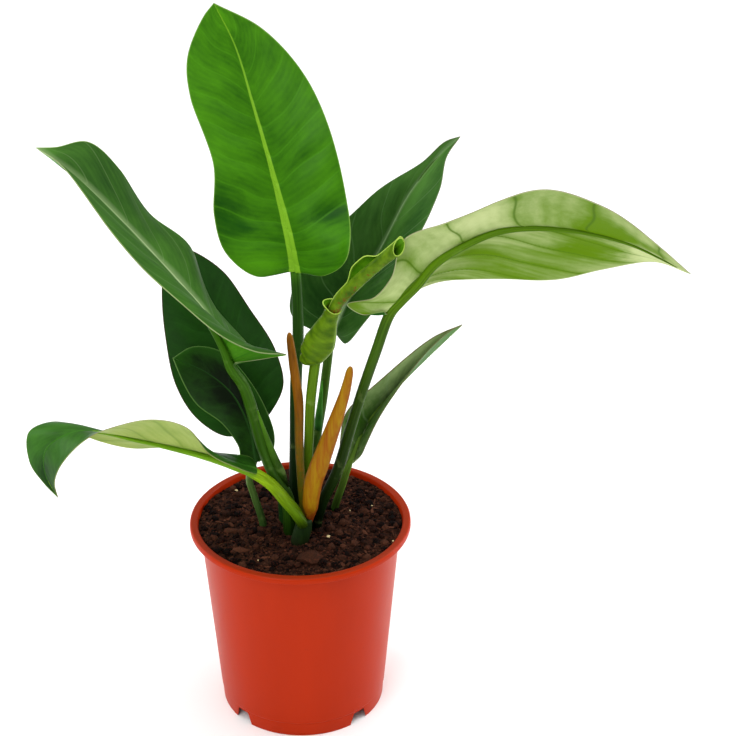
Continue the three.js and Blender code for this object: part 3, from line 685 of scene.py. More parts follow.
def blade_face(name, deep, fresh, vein, rib, margin, show=0.35, halo=0, gloss=(0.34, 0.46), fine_lines=0.12,
               vein_width=0.07, rib_band=0.1):
    """One face of a living leaf: waxy and glossy, deep to fresh green, with midrib, side veins and margin.
    `show` is how far the side veins differ in colour, `halo` how much painted shade darkens the leaf in the
    creases beside them, `fine_lines` how far the fine veins between them show, `vein_width` the side veins'
    half width as a share of their spacing, and `rib_band` how many millimetres the midrib's colour fades out
    over."""
    material, tree, place, tone, count, rib_gap, edge_gap, across, along = new_material(
        name, "tone", "vein", "rib_gap", "edge_gap", "across", "along")
    blotch = add(tree, "TexNoise", {"Vector": place, "Scale": grain_of(26.3), "Detail": 4, "Roughness": 0.6})
    vein_place = add(tree, "CombineXYZ", (count, across, tone))
    # Streaks that run beside the side veins, nearly half as wide as the veins' spacing.
    streak = add(tree, "TexNoise", {"Vector": vein_place, "Scale": 2.2, "Detail": 5, "Roughness": 0.65})
    # The cells of the skin are far finer than 2 mm, and are drawn so coarse to show.
    cells = add(tree, "TexNoise", {"Vector": place, "Scale": grain_of(2.222), "Detail": 1})
    near = add(tree, "Math", (count, 0.5), operation="PINGPONG")
    line = add(tree, "MapRange", (near, 0, vein_width, 1, 0), **EASED)
    # Painted shade: the leaf is darker in the creases beside the side veins, by `halo`.
    vein_crease_shade = add(tree, "MapRange", (near, 0, 0.25, halo, 0), **EASED)
    fine_count = add(tree, "Math", (count, FINE_VEINS), operation="MULTIPLY")
    fine = add(tree, "Math", (fine_count, 0.5), operation="PINGPONG")
    # The tone mark carries the leaf's own patches, and on some leaves painted shade and painted highlights.
    mottled = add(tree, "Math", (blotch, 0.7, tone), operation="MULTIPLY_ADD")
    lift = add(tree, "Math", (streak, 1.1, mottled), operation="MULTIPLY_ADD")
    streaked = add(tree, "Math", (fine, 2 * fine_lines, lift), operation="MULTIPLY_ADD")
    dimmed = add(tree, "Math", (streaked, vein_crease_shade), operation="SUBTRACT")
    shade = add(tree, "MapRange", (dimmed, 0.1, 1.8), **EASED)
    # Veins, midrib and margin are laid over that. The midrib fades out towards the tip.
    vein_mask = add(tree, "Math", (line, show), operation="MULTIPLY")
    band = add(tree, "MapRange", (rib_gap, 0, rib_band, 0.45, 0))
    faint = add(tree, "MapRange", (along, 0.55, 1, 1, 0.3))
    rib_line = add(tree, "MapRange", (rib_gap, -0.5, 0.5, 1, 0), **EASED)
    rib_mask = add(tree, "Math", (rib_line, faint), operation="MULTIPLY")
    edge_mask = add(tree, "MapRange", (edge_gap, 0.25, 0.9, 1, 0))
    skin_colour = add(tree, "MixRGB", (shade, deep, fresh))
    for mask, over in ((vein_mask, vein), (band, rib), (rib_mask, rib), (edge_mask, margin)):
        skin_colour = add(tree, "MixRGB", (mask, skin_colour, over))
    rough = add(tree, "MapRange", (blotch, 0.3, 0.7, *gloss))
    ridge = add(tree, "Math", (line, -0.5, cells), operation="MULTIPLY_ADD")
    height = add(tree, "Math", (fine, 0.8, ridge), operation="MULTIPLY_ADD")
    bump = add(tree, "Bump", {"Height": height, "Strength": 0.1, "Distance": 0.0004})
    add(tree, "OutputMaterial", {"Surface": add(tree, "BsdfPrincipled", {
        "Base Color": skin_colour, "Roughness": rough, "Specular IOR Level": 0.06, "Normal": bump})})
    return material


def margin_skin(name, colour, other):
    """The leaf's cut-thin edge: a translucent rim, pale or dried to brown."""
    material, tree, place = new_material(name)
    patches = add(tree, "TexNoise", {"Vector": place, "Scale": grain_of(16.67), "Detail": 3})
    rim = add(tree, "MixRGB", (patches, colour, other))
    add(tree, "OutputMaterial", {"Surface": add(tree, "BsdfPrincipled", {
        "Base Color": rim, "Roughness": 0.5, "Specular IOR Level": 0.2})})
    return material


def petiole(name, low, high, rib=None):
    """Leaf stalk: firm and waxy, finely streaked along its length, from one green at the foot to another
    above, and a third where it runs on as the midrib. Near the soil it is darkened by painted shade."""
    material, tree, place, round_x, round_y, grown = new_material(
        name + "_skin", "round_x", "round_y", "tone")
    streak_place = add(tree, "CombineXYZ", (round_x, round_y, grown))
    streak = add(tree, "TexNoise", {"Vector": streak_place, "Scale": 4, "Detail": 4})
    fleck = add(tree, "TexNoise", {"Vector": place, "Scale": grain_of(14.29), "Detail": 3})
    rise = add(tree, "MapRange", (grown, 0.1, 1.05), **EASED)
    free = add(tree, "MixRGB", (rise, low, high))
    blade = add(tree, "MapRange", (grown, 0.94, 1.04), **EASED)
    body = add(tree, "MixRGB", (blade, free, rib or high))
    shade = add(tree, "MapRange", (streak, 0.3, 0.7, 0.65, 1.25))
    # Painted shade: the stalk is darkened towards its foot, where the stalks crowd together near the soil.
    foot = add(tree, "MapRange", (grown, 0.06, 0.28, 0.25, 1), **EASED)
    streak_and_foot_shade = add(tree, "Math", (shade, foot), operation="MULTIPLY")
    streaked = add(tree, "MixRGB", (1, body, streak_and_foot_shade), blend_type="MULTIPLY")
    pale = add(tree, "MapRange", (fleck, 0.62, 0.75, 0, 0.25))
    flecked = add(tree, "MixRGB", (pale, streaked, "#8FA860"))
    bump = add(tree, "Bump", {"Height": streak, "Strength": 0.25, "Distance": 0.0004})
    add(tree, "OutputMaterial", {"Surface": add(tree, "BsdfPrincipled", {
        "Base Color": flecked, "Roughness": 0.42, "Specular IOR Level": 0.06, "Normal": bump})})
    return material


def solidify(piece, thickness, under=0, rim=0):
    """Gives a sheet its thickness. The other side and the rim take the materials that follow by that many."""
    modifier = piece.modifiers.new("thickness", "SOLIDIFY")
    modifier.thickness = thickness * MM
    modifier.offset = 0
    modifier.material_offset = under
    modifier.material_offset_rim = rim
    pick(piece)
    bpy.ops.object.modifier_apply(modifier="thickness")


def join(pieces):
    """Joins the pieces into the first one."""
    pick(*pieces)
    bpy.ops.object.join()
    return pieces[0]


def trough(name, line, shares, widths, face, wrap, facing, material, thickness, columns=17):
    """A strip curved across its width, hollow behind: `wrap` degrees each way from the bearing `face`."""
    middle, front, side, _ = frames(line, shares, facing)
    across = np.linspace(-1, 1, columns)[None, :]
    along = shares[:, None]
    reach = widths[:, None, None] / 2
    points = around(middle, front, side, np.radians(face + wrap * across), reach)
    strip = skin(name, points, {"along": along, "across": across, "tone": along}, material)
    solidify(strip, thickness)
    return strip


WING = {"widths": [1.5, 6, 5.4, 4, 2.4, 0.6], "wrap": 70, "thickness": 0.7}  # the flap that some stalks have


def leaf(name, node, slot, data):
    """One leaf: blade, stalk and midrib, and the flap that some stalks have."""
    points, normals, marks = blade_grid(data)
    blade = skin(name, points, marks)
    face = data["face"]
    under_look = {**UNDER_LOOK, **data.get("under_look", {})}
    for material in (blade_face(face + "_upper", *data["upper"], **data.get("upper_look", {})),
                     blade_face(face + "_under", *data["under"], **under_look),
                     margin_skin(face + "_margin", *data["margin"])):
        blade.data.materials.append(material)
    solidify(blade, BLADE_THICKNESS, 1, 2)
    parts = [blade, leaf_stalk(name + "_stalk", data, points, normals)]
    if "wing" in data:
        shares = np.linspace(0, 1, 40)
        line = through(data["wing"])
        widths = spread(WING["widths"], shares)
        parts.append(trough(name + "_wing", line, shares, widths, data["wing_face"], WING["wrap"], (0, -1, 0),
                            petiole(name + "_flap", *data["wing_colours"]), WING["thickness"]))
    finish_piece(join(parts), node, 50)


# The tallest leaf: upright, leaning back, bright green, upper face to the front.
leaf("upright_leaf", "leaf_upright", "leaf_bright", {
    "stalk": [(-4, -2, 134), (-4, -1, 160), (-4, 0, 187), (-3, 3, 228), (-2, 8, 276), (0, 14, 315)],
    "radii": [5.2, 5, 4.3],
    "stalk_colours": ("#0E200A", "#264A10", "#4E8A18"),
    "rib": [(-1, 21, 360), (-5, 27, 382), (-18, 47, 429), (-31, 66, 471), (-44, 82, 511), (-59, 90, 540.6)],
    "left": [(-6, 21, 362), (-29, 12, 360), (-51, 12, 379), (-59, 20, 405), (-59, 34, 440), (-76, 58, 480),
             (-78, 72, 506), (-67, 86, 531)],
    "right": [(0, 21, 359), (21, 12, 361), (39, 10, 377), (36, 28, 414), (24, 50, 462), (3, 68, 499),
              (-24, 80, 525)],
    "seat": 1.6, "arch": 3, "wave": (1.6, 3, 0.2), "veins": 11, "rib_width": 5, "quilt": 0.8, "relief": 0.4,
    "folds": [(-0.7, 0.34, 0.35, 0.07, -3.2), (-0.6, 0.16, 0.5, 0.07, 2.4), (0.75, 0.3, 0.35, 0.05, -2.6),
              (0.6, 0.21, 0.4, 0.06, 1.6), (1, 0.19, 0.12, 0.05, 4)],
    # Of these tones, the dark ones in the two lower folds are painted shade, and the light one on the raised
    # left lobe is painted light.
    "tones": [(-0.95, 0.36, 0.35, 0.08, -0.7), (-0.6, 0.29, 0.3, 0.035, -0.35),
              (-0.75, 0.14, 0.35, 0.05, 1), (0.75, 0.3, 0.4, 0.03, -0.6), (0.25, 0.96, 0.3, 0.04, 0.6),
              (-0.9, 0.6, 0.3, 0.25, 0.2), (0.9, 0.45, 0.2, 0.3, 0.15)],
    "face": "bright_leaf",
    "upper": ("#164808", "#4A8C0E", "#4C9014", "#7CB028", "#6E9A3A"),
    "upper_look": {"show": 0.4},
    "under": ("#3C8A1A", "#7FBF4A", "#3F8A1E", "#5E9A2A", "#9AB860"),
    "margin": ("#7FB044", "#6E5A34"),
})

# Arches up and out to the left, nearly edge-on to the front.
leaf("high_left_leaf", "leaf_high_left", "leaf_green", {
    "stalk": [(-9, -14, 134), (-8, -16, 160), (-9, -21, 190), (-16, -26, 210), (-26, -30, 242),
              (-38, -35, 294)],
    "radii": [5, 5.6, 4.2],
    "stalk_colours": ("#24440A", "#3A6610"),
    "wing": [(-8, -25, 204), (-17, -33, 233), (-24, -38, 260), (-28, -41, 278)],
    "wing_face": 30,
    "wing_colours": ("#28480C", "#4A7816"),
    "rib": [(-46, -36, 313), (-58, -33, 344), (-83, -28, 376), (-122, -18, 419), (-149, -8, 443),
            (-181, 8, 462)],
    "left": [(-43, -38, 316), (-6, -44, 325), (-27, -62, 338), (-54, -72, 357), (-85, -70, 388),
             (-122, -58, 425), (-156, -28, 461)],
    "right": [(-46, -33, 314), (-28, -12, 306), (-37, -2, 312), (-62, 10, 339), (-77, 18, 381),
              (-105, 24, 403), (-126, 28, 438), (-147, 24, 460), (-168, 14, 460)],
    "arch": 3, "wave": (1, 3, 0.1), "veins": 7, "bend": (0.26, 0.2), "rib_width": 2.6, "quilt": 0.9,
    "tones": [(0, 0.99, 2, 0.05, 1), (0.1, 0.45, 0.35, 0.3, 0.35), (0.5, 0.75, 0.5, 0.12, -0.3)],
    "face": "green_leaf",
    "upper": ("#14380A", "#406E22", "#6E8E54", "#98AE7C", "#86A05C"),
    "upper_look": {"show": 0.3, "gloss": (0.5, 0.62), "vein_width": 0.04, "rib_band": 6},
    "under": ("#2F700E", "#56961C", "#2F6A12", "#4A8A1E", "#A9C45A"),
    "margin": ("#9DB47E", "#6E6A44"),
})

# Broad dark leaf behind it, upper face to the front.
leaf("back_left_leaf", "leaf_back_left", "leaf_dark", {
    "stalk": [(-13, -3, 134), (-13, -2, 160), (-14, 0, 178), (-21, 4, 201), (-29, 9, 220)],
    "radii": [3.6, 3.5, 3.2],
    "stalk_colours": ("#14300F", "#1E4A16"),
    "rib": [(-35, 14, 232), (-46, 24, 263), (-61, 40, 298), (-78, 56, 332), (-96, 70, 360)],
    "left": [(-38, 14, 230), (-55, 8, 228), (-77, 10, 242), (-93, 20, 266), (-101, 36, 304),
             (-103, 50, 331), (-102, 62, 348)],
    "right": [(-31, 14, 233), (-20, 8, 251), (-11, 14, 270), (-17, 26, 292), (-35, 40, 317), (-55, 55, 342),
              (-77, 64, 355)],
    "arch": 3, "wave": (1.2, 2.5, 0), "veins": 7, "rib_width": 1.3,
    "face": "dark_leaf",
    "upper": ("#12300A", "#225012", "#2C5C1E", "#26501A", "#40301A"),
    "upper_look": {"show": 0.15, "gloss": (0.4, 0.5), "fine_lines": 0.05},
    "under": ("#2F6A22", "#5E9648", "#2F6A1E", "#4A822E", "#6A6038"),
    "margin": ("#4F2F1C", "#3A5A20"),
})

# Small hollow leaf low down on the left, its tip bent forwards.
leaf("small_left_leaf", "leaf_small_left", "leaf_dark", {
    "stalk": [(-27, -4, 134), (-29, -6, 160), (-35, -8, 186), (-38, -9, 201)],
    "radii": [3.2, 3, 2.8],
    "stalk_colours": ("#2C4A1C", "#5A7838"),
    "rib": [(-32, -10, 216), (-36, -10, 244), (-48, -10, 274), (-67, -14, 295), (-89, -26, 313)],
    "left": [(-34, -11, 216), (-42, -16, 220), (-44, -20, 236), (-55, -28, 259), (-72, -34, 279),
             (-81, -34, 296)],
    "right": [(-30, -10, 216), (-20, -8, 224), (-18, -6, 236), (-23, -2, 254), (-36, 2, 280), (-55, 0, 304),
              (-75, -12, 315)],
    "arch": -3, "wave": (0.8, 2, 0.3), "veins": 6, "rib_width": 1,
    # The dark tone in the middle of its hollow is painted shade.
    "tones": [(0.1, 0.62, 0.6, 0.2, -0.9), (0.95, 0.7, 0.25, 0.5, 0.6), (0, 0.97, 1, 0.06, 0.8)],
    "face": "hollow_leaf",
    "upper": ("#0C1808", "#285614", "#2A5420", "#244A1A", "#4E7836"),
    "upper_look": {"show": 0.12, "gloss": (0.62, 0.74), "fine_lines": 0.04},
    "under": ("#2C6420", "#5A9044", "#2C641C", "#4A7E2E", "#9AB070"),
    "margin": ("#6E9048", "#5A8038"),
})

# Rises behind to the right, upper face to the front.
leaf("back_right_leaf", "leaf_back_right", "leaf_dark", {
    "stalk": [(8, 4, 132), (8, 8, 160), (9, 14, 186), (12, 30, 212), (17, 46, 238), (21, 60, 266)],
    "radii": [3.8, 3.7, 3.4],
    "stalk_colours": ("#1E380C", "#3A5A14"),
    "wing": [(13, 30, 213), (15, 41.5, 235), (17, 50, 253)],
    "wing_face": -10,
    "wing_colours": ("#24561A", "#3E7A22"),
    "rib": [(25, 70, 287), (40, 82, 313), (60, 98, 339), (84, 116, 381), (107, 128, 408),
            (123, 133.6, 421)],
    "left": [(22, 69, 285), (9, 60, 292), (-7, 62, 306), (3, 80, 340), (37, 96, 370), (58, 106, 387),
             (93, 122, 404), (111, 130, 418)],
    "right": [(28, 70, 285), (35, 58, 281), (52, 54, 305), (75, 66, 341), (91, 80, 365), (107, 102, 390),
              (112, 120, 409)],
    "arch": 3, "wave": (1.4, 3, 0.4), "veins": 6, "bend": (0.2, 0.2), "rib_width": 2.4, "quilt": 0.8,
    "tones": [(0.2, 0.75, 0.25, 0.3, 0.7), (0.7, 0.6, 0.3, 0.3, -0.3), (-0.3, 0.9, 0.6, 0.15, 0.6),
              (-0.3, 0.2, 0.8, 0.2, -0.5)],
    "face": "back_leaf",
    "upper": ("#143A0C", "#4C7832", "#6A8E58", "#94AE80", "#4A6A3A"),
    # Its pale midrib band is partly the rib's own colour and partly a painted highlight along it.
    "upper_look": {"show": 0.3, "gloss": (0.4, 0.5), "fine_lines": 0.06, "vein_width": 0.04, "rib_band": 3},
    "under": ("#356E24", "#6A9E50", "#2F6A1E", "#4E8632", "#8A9A60"),
    "margin": ("#6A7A44", "#5A3A24"),
})

# Lies out low to the left, rolled on its side so that the pale underside shows, and droops at the tip.
leaf("low_left_leaf", "leaf_low_left", "leaf_pale", {
    "stalk": [(4, -27, 170), (1.5, -31, 178), (-2.5, -33, 187), (-8.5, -34, 196), (-19, -38, 213)],
    "radii": [4.6, 5, 4.4],
    "stalk_colours": ("#54780C", "#86AA16", "#6C9A1C"),
    "rib": [(-30, -42, 229), (-66, -52, 248), (-105, -60, 263), (-134, -64, 272), (-157, -63, 273),
            (-179, -61, 258), (-182, -61, 239), (-174, -62, 217)],
    "left": [(-30, -46, 227), (-40, -66, 243), (-60, -84, 268), (-75, -90, 291), (-102, -92, 299),
             (-129, -92, 293), (-148, -84, 277), (-167, -76, 253), (-174.5, -67, 232)],
    "right": [(-30, -39, 229), (-35, -28, 231), (-66, -22, 232), (-94, -26, 238), (-126, -36, 245),
              (-152, -40, 254), (-175, -36, 266), (-194.7, -42, 261), (-194, -52, 241), (-183, -60, 227)],
    "arch": 2, "wave": (1, 3, 0), "veins": 8, "rib_width": 1.2,
    # The light tone near the right edge, towards the tip, is a painted sheen.
    "tones": [(0, 1, 2, 0.04, -0.8), (0.2, 0.93, 0.8, 0.05, -0.7), (0.6, 0.2, 0.5, 0.2, -0.6),
              (0.8, 0.75, 0.4, 0.1, 0.3)],
    "face": "low_leaf",
    "upper": ("#123408", "#386E1A", "#2F6A1C", "#3A7020", "#66803C"),
    "upper_look": {"show": 0.25},
    "under": ("#7A9634", "#AEBC6C", "#748E3C", "#5F9A1A", "#C8D090"),
    "under_look": {"halo": 0.3},
    "margin": ("#98A868", "#6A5030"),
})

# The longest leaf, out to the right, turned on edge with its pale underside to the front.
leaf("high_right_leaf", "leaf_high_right", "leaf_pale", {
    "stalk": [(12, -8, 134), (13, -10, 160), (18, -14, 183), (29, -20, 213), (39, -25, 252), (48, -33, 289),
              (58, -41, 326)],
    "radii": [4.2, 4.6, 4.2, 4.2],
    # The dark foot green of its stalk is partly painted shade.
    "stalk_colours": ("#0C1E06", "#3A5A10", "#4E720A"),
    "rib": [(66, -46, 359), (93, -52, 394), (130, -58, 425), (182, -66, 433), (229, -78, 427),
            (267.6, -95, 413)],
    "left": [(68, -45, 359), (62, -26, 357), (72, -20, 357), (93, -30, 371.5), (125, -38, 383),
             (168, -48, 385), (212, -62, 400), (245, -80, 415)],
    "right": [(63, -47, 361), (48, -44, 357), (37, -40, 363), (55, -46, 370), (68, -50, 389),
              (76, -54, 419), (103, -66, 436), (139, -82, 461), (172, -90, 471), (207, -94, 462),
              (242, -95, 436)],
    "arch": 3, "wave": (1.4, 4, 0.2), "veins": 6.2, "bend": (0.32, -0.02), "rib_width": 2, "quilt": 2.8,
    "relief": 0.9, "taper": 0.95,
    # The dark tone just right of the midrib towards the tip is painted shade, and the strong light tone left
    # of the midrib near the tip is a painted highlight.
    "tones": [(0.8, 0.62, 0.5, 0.14, -0.3), (0.2, 0.85, 0.35, 0.14, -1.2), (-0.8, 0.5, 0.6, 0.16, -0.5),
              (0.5, 0.2, 0.7, 0.14, 0.1), (-0.5, 0.94, 0.8, 0.08, 2.2), (0.5, 0.5, 0.5, 0.1, 0.7),
              (-0.5, 0.75, 0.3, 0.1, -0.8), (-0.25, 0.45, 0.3, 0.08, -0.4), (1, 0.02, 0.4, 0.07, -1)],
    "face": "pale_leaf",
    "upper": ("#1C4A12", "#3A7422", "#5A8E40", "#6A9450", "#7A9A50"),
    "upper_look": {"show": 0.35},
    "under": ("#5E8406", "#C6D394", "#4A6E10", "#446C0A", "#B4BE8C"),
    "under_look": {"show": 0.85, "halo": 0.4, "gloss": (0.42, 0.55), "vein_width": 0.035},
    "margin": ("#A0A878", "#6A5A3A"),
})

# Narrow folded leaf, low on the right.
leaf("low_right_leaf", "leaf_low_right", "leaf_dark", {
    "stalk": [(22, 14, 134), (26, 18, 158), (32, 16, 180)],
    "radii": [3.2, 3.1, 2.9],
    "stalk_colours": ("#16300A", "#5C7E2A"),
    "rib": [(39, 13, 201), (52, 12, 236), (72, 8, 267), (98, 3, 300), (121, 0, 327)],
    "left": [(37, 14, 201), (31, 6, 207), (31, 2, 230), (36, -2, 254), (53, -4, 275), (80, -6, 303),
             (102, -4, 320)],
    "right": [(41, 14, 201), (47, 4, 214), (51, -2, 228), (62, -6, 254), (80, -10, 289), (99, -8, 313),
              (112, -4, 324)],
    "arch": 1, "wave": (0.6, 2, 0), "veins": 6, "rib_width": 0.9,
    "tones": [(0, 0, 1.2, 0.06, 1.2), (0, 0.35, 1.2, 0.25, -0.6), (0, 0.95, 1.2, 0.3, 0.9)],
    "face": "folded_leaf",
    "upper": ("#365F18", "#A0B87A", "#8CAA78", "#A0B88C", "#6A5A3A"),
    "upper_look": {"show": 0.3, "gloss": (0.4, 0.5), "fine_lines": 0.06},
    "under": ("#2A5420", "#5A8248", "#33641E", "#4E7E3A", "#6A5A3A"),
    "under_look": {"show": 0.4},
    "margin": ("#7A6844", "#4A6A34"),
})


# ---- Young leaf ----
# The youngest leaf is still rolled. Its stalk swells into a sleeve of wrapped basal lobes, and the rolled
# blade comes out of the sleeve's mouth, its loose margin and its end standing open.

YOUNG_STALK = [(6, -16, 148), (6, -14, 165), (6, -12, 182), (6, -10, 200), (8, -14, 238), (10, -20, 275),
               (14, -26, 310)]
YOUNG_RADII = [3.3, 3.6, 3.9]
YOUNG_RIBS = 17
SLEEVE = [(3, -27, 311.5), (9, -28, 315), (16.5, -31.5, 327), (22.5, -36, 344), (27, -40, 358),
          (28, -41, 362)]
SLEEVE_RADII = [2.5, 9.6, 11.2, 8.6, 5.6, 5.2]
SLEEVE_TURN = (-335, 412)  # the bearing where it starts, and how far it is rolled, in degrees
SCROLL = [(26, -38, 353), (32, -43, 368), (41, -48, 381), (54, -54, 397), (64, -58, 408), (73, -62, 418)]
SCROLL_RADII = [4.4, 4.8, 5, 4.9, 4.7, 5]
SCROLL_TURN = (-172, 420)
YOUNG_THICKNESS = 0.7
TO_CAMERA = (0, -0.88, 0.47)  # the direction that these bearings are counted from


def young_skin(name, deep, fresh):
    """A leaf not yet hardened: soft satin lime green, ribbed by its side veins, with thin pale margins and a
    few brown specks where it chafed on coming out."""
    material, tree, place, along, across, rim, scuffed = new_material(
        name, "along", "across", "edge_gap", "tone")
    sheet_place = add(tree, "CombineXYZ", (across, along))
    stretched = add(tree, "Mapping", {"Vector": sheet_place, "Scale": (3.5, 7, 1)})
    blotch = add(tree, "TexNoise", {"Vector": stretched, "Scale": 1.4, "Detail": 5})
    speck = add(tree, "TexNoise", {"Vector": place, "Scale": grain_of(2.381), "Detail": 3, "Roughness": 0.7})
    ribs = add(tree, "Math", (along, YOUNG_RIBS), operation="MULTIPLY")
    rib = add(tree, "Math", (ribs, 0.5), operation="PINGPONG")
    shade = add(tree, "Math", (rib, 0.07, blotch), operation="MULTIPLY_ADD")
    centred = add(tree, "MapRange", (shade, 0.25, 0.8))
    body = add(tree, "MixRGB", (centred, deep, fresh))
    brown = add(tree, "Math", (speck, scuffed), operation="ADD")
    spots = add(tree, "MapRange", (brown, 0.66, 0.78, 0, 0.85))
    spotted = add(tree, "MixRGB", (spots, body, "#6A3E10"))
    pale = add(tree, "MapRange", (rim, 0.2, 0.8, 0.9, 0))
    edged = add(tree, "MixRGB", (pale, spotted, "#9CBC44"))
    bump = add(tree, "Bump", {"Height": rib, "Strength": 0.12, "Distance": 0.0005})
    add(tree, "OutputMaterial", {"Surface": add(tree, "BsdfPrincipled", {
        "Base Color": edged, "Roughness": 0.42, "Specular IOR Level": 0.06, "Normal": bump})})
    return material


def smooth(x):
    """0 below 0, 1 above 1, and an even rise between."""
    x = np.clip(x, 0, 1)
    return x * x * (3 - 2 * x)


def rolled(name, line, shares, radius, push, start, sweep, marks, materials):
    """A sheet rolled round a line, from a bearing through a sweep in degrees. Its radius and marks are
    functions of the share of the line and of the turn, from 0 to 1. `push` moves it along the line."""
    turn = np.linspace(0, 1, 90)[None, :]
    share = shares[:, None]
    middle, front, side, tangent = frames(line, shares, TO_CAMERA)
    angle = np.radians(start + sweep * turn)
    points = around(middle, front, side, angle, radius(share, turn)[..., None])
    points += push(share, np.cos(angle), np.sin(angle))[..., None] * tangent[:, None]
    piece = skin(name, points, {"along": share, "across": turn, **marks(share, turn)})
    for material in materials:
        piece.data.materials.append(material)
    solidify(piece, YOUNG_THICKNESS, 1, 2)
    return piece


def young_leaf():
    """Stalk, sleeve and scroll."""
    faces = [young_skin("young_leaf_outside", "#2C4C08", "#6A8C14"),
             young_skin("young_leaf_inside", "#3A7408", "#5C940E"),
             margin_skin("young_leaf_margin", "#B4D05A", "#98BC40")]
    stalk = through([*YOUNG_STALK, SLEEVE[2]])
    shares = np.concatenate([[0], np.linspace(0.002, 0.998, 90), [1]])
    radii = spread(YOUNG_RADII, shares)
    radii[0] = radii[-1] = 0
    stalk_piece = tube("young_leaf", stalk, shares, radii, TO_CAMERA, petiole_section,
                       petiole("young_stalk", "#456408", "#567A0E"), {"tone": shares[:, None]})
    sleeve_line = through(SLEEVE)
    sleeve_shares = np.concatenate([[0, 0.004, 0.012], np.linspace(0.03, 1, 60)])

    def sleeve_radius(share, turn):
        """Rounded at the foot, laid over itself along the front, with a lip at the mouth."""
        body = spread(SLEEVE_RADII, share) * smooth(share / 0.05 + 0.25)
        body = np.where(share == 0, 0.05, body)
        overlap = 1 - 0.07 * smooth((0.16 - turn) / 0.1)
        flap = np.exp(-(((turn - 0.6) / 0.08) ** 2))
        return body * overlap + (0.5 + 2.6 * flap) * smooth((share - 0.93) / 0.07)

    def sleeve_marks(share, turn):
        free = (1 - turn) * 60 + 2.2 * smooth((0.1 - share) / 0.05)
        edge = np.minimum(free, (1 - share) * sleeve_line.length + 0.2)
        return {"edge_gap": edge, "tone": 0.1 * smooth((share - 0.85) / 0.1)}

    def mouth_cut(share, front, side):
        """The mouth is cut aslant, lower towards the camera."""
        return (-1.6 * front - 1.4 * side) * smooth((share - 0.8) / 0.2)

    sleeve = rolled("young_sleeve", sleeve_line, sleeve_shares, sleeve_radius, mouth_cut, *SLEEVE_TURN,
                    sleeve_marks, faces)
    scroll_line = through(SCROLL)
    scroll_shares = np.linspace(0, 1, 110)

    def scroll_radius(share, turn):
        """A spiral, whose outer margin stands off halfway along, and flares at the end."""
        body = spread(SCROLL_RADII, share) * (0.74 + 0.26 * turn)
        loose = np.exp(-(((share - 0.57) / 0.15) ** 4))
        return body + 6.4 * loose * smooth((turn - 0.74) / 0.26) + 0.4 * smooth((share - 0.94) / 0.06)

    def scroll_marks(share, turn):
        edge = np.minimum((1 - turn) * 45, (1 - share) * scroll_line.length + 0.15)
        low = np.exp(-(((turn - 0.5) / 0.16) ** 2)) * (1.2 - share)
        return {"edge_gap": edge, "tone": 0.24 * low + 0.2 * smooth((0.14 - share) / 0.1) - 0.05}

    def end_cut(share, front, side):
        """The end is cut aslant too."""
        return (-2.4 * front - 3.6 * side) * smooth((share - 0.75) / 0.25)

    scroll = rolled("young_scroll", scroll_line, scroll_shares, scroll_radius, end_cut, *SCROLL_TURN,
                    scroll_marks, faces)
    finish_piece(join([stalk_piece, sleeve, scroll]), "leaf_young", 50)


young_leaf()


# ---- Dry sheaths ----
# Two papery sheaths that once wrapped young leaves, now dried to orange-brown: troughs that taper to a blunt
# tip, with darker edges. The right one stands in the stem, and the left one in the soil behind it.

SHEATHS = {
    "left": {
        "line": [(4.5, -20, 150), (4, -20, 168), (3, -20, 180), (2, -20, 198), (1, -20, 240), (1, -19, 274),
                 (-2, -17, 301), (-5, -15, 328)],
        "widths": [3.6, 4, 5, 5.6, 6, 6.6, 6.2, 4.4],
        "colours": ("#5E3406", "#98600C", "#4E5006"),
        "foot_reach": (0.3, 0.95),
        "face": 0,
    },
    "right": {
        "line": [(7.5, -24, 170), (8.5, -25, 180), (9.5, -28, 193), (12, -31, 212), (17, -35, 230),
                 (22, -38, 247), (30, -44, 275), (36, -48, 298), (40, -52, 320)],
        "widths": [3, 12, 13.6, 13.8, 12.4, 10.8, 8.8, 6.8, 4.6],
        "colours": ("#8A4404", "#A2800A", "#7A3008"),
        "foot_reach": (0.04, 0.22),
        "face": -20,
    },
}
SHEATH_THICKNESS = 0.8
SHEATH_WRAP = 78


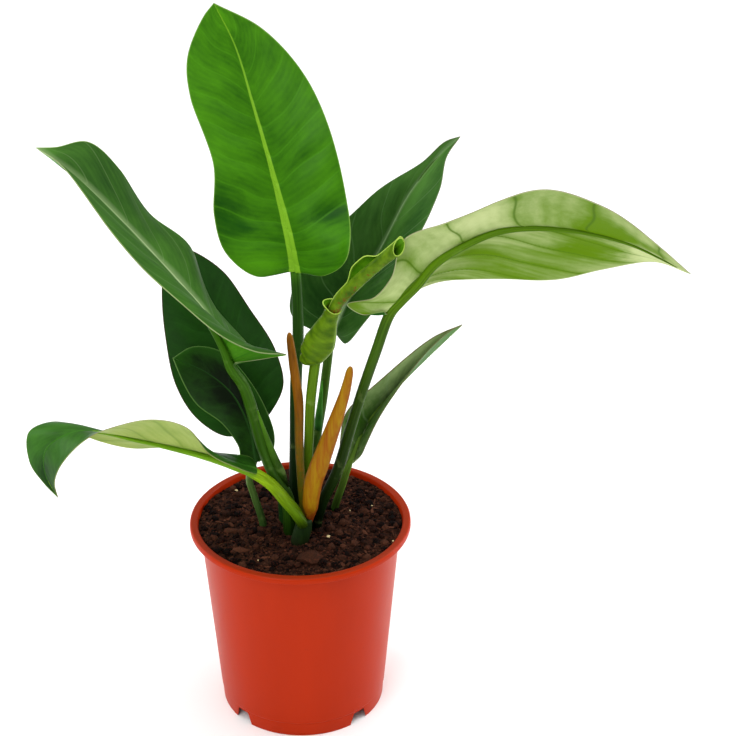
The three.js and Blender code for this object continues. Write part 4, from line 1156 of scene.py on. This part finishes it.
def dry_sheath(name, deep, light, foot, foot_reach):
    """Dried leaf sheath: papery, streaked by its fibres along its length, dark at its edges and stained at
    its foot. The fibres are drawn thicker than real, so that they show."""
    material, tree, place, along, across = new_material(name, "along", "across")
    fibre_place = add(tree, "Mapping", {"Vector": place, "Scale": (1, 1, 0.05)})
    fibre = add(tree, "TexNoise", {"Vector": fibre_place, "Scale": grain_of(1.4286), "Detail": 4})
    band_place = add(tree, "Mapping", {"Vector": place, "Scale": (1, 1, 0.12)})
    band = add(tree, "TexNoise", {"Vector": band_place, "Scale": grain_of(5.263), "Detail": 3})
    stain = add(tree, "TexNoise", {"Vector": place, "Scale": grain_of(9.091), "Detail": 4, "Roughness": 0.7})
    mixed = add(tree, "Math", (fibre, 0.6, band), operation="MULTIPLY_ADD")
    spread_out = add(tree, "MapRange", (mixed, 0.5, 1.1))
    body = add(tree, "MixRGB", (spread_out, deep, light))
    foot_mask = add(tree, "MapRange", (along, *foot_reach, 0.95, 0))
    patchy = add(tree, "Math", (foot_mask, stain), operation="MULTIPLY")
    patched = add(tree, "MapRange", (patchy, 0.2, 0.5))
    footed = add(tree, "MixRGB", (patched, body, foot))
    side = add(tree, "Math", {0: across}, operation="ABSOLUTE")
    edge = add(tree, "MapRange", (side, 0.62, 1, 0, 0.7))
    edged = add(tree, "MixRGB", (edge, footed, foot))
    bump = add(tree, "Bump", {"Height": fibre, "Strength": 0.5, "Distance": 0.0005})
    add(tree, "OutputMaterial", {"Surface": add(tree, "BsdfPrincipled", {
        "Base Color": edged, "Roughness": 0.55, "Specular IOR Level": 0.1, "Normal": bump})})
    return material


def sheath(side, data):
    """One sheath, with a rounded tip."""
    line = through(data["line"])
    shares = np.concatenate([np.linspace(0, 0.96, 60), [0.975, 0.987, 0.995, 1]])
    widths = spread(data["widths"], shares)
    widths[-4:] *= (0.92, 0.75, 0.5, 0.1)
    material = dry_sheath(f"dry_sheath_{side}_skin", *data["colours"], data["foot_reach"])
    piece = trough(f"dry_sheath_{side}", line, shares, widths, data["face"], SHEATH_WRAP, (0, -1, 0),
                   material, SHEATH_THICKNESS, 21)
    finish_piece(piece, f"sheath_{side}", 60)


for sheath_side, sheath_data in SHEATHS.items():
    sheath(sheath_side, sheath_data)
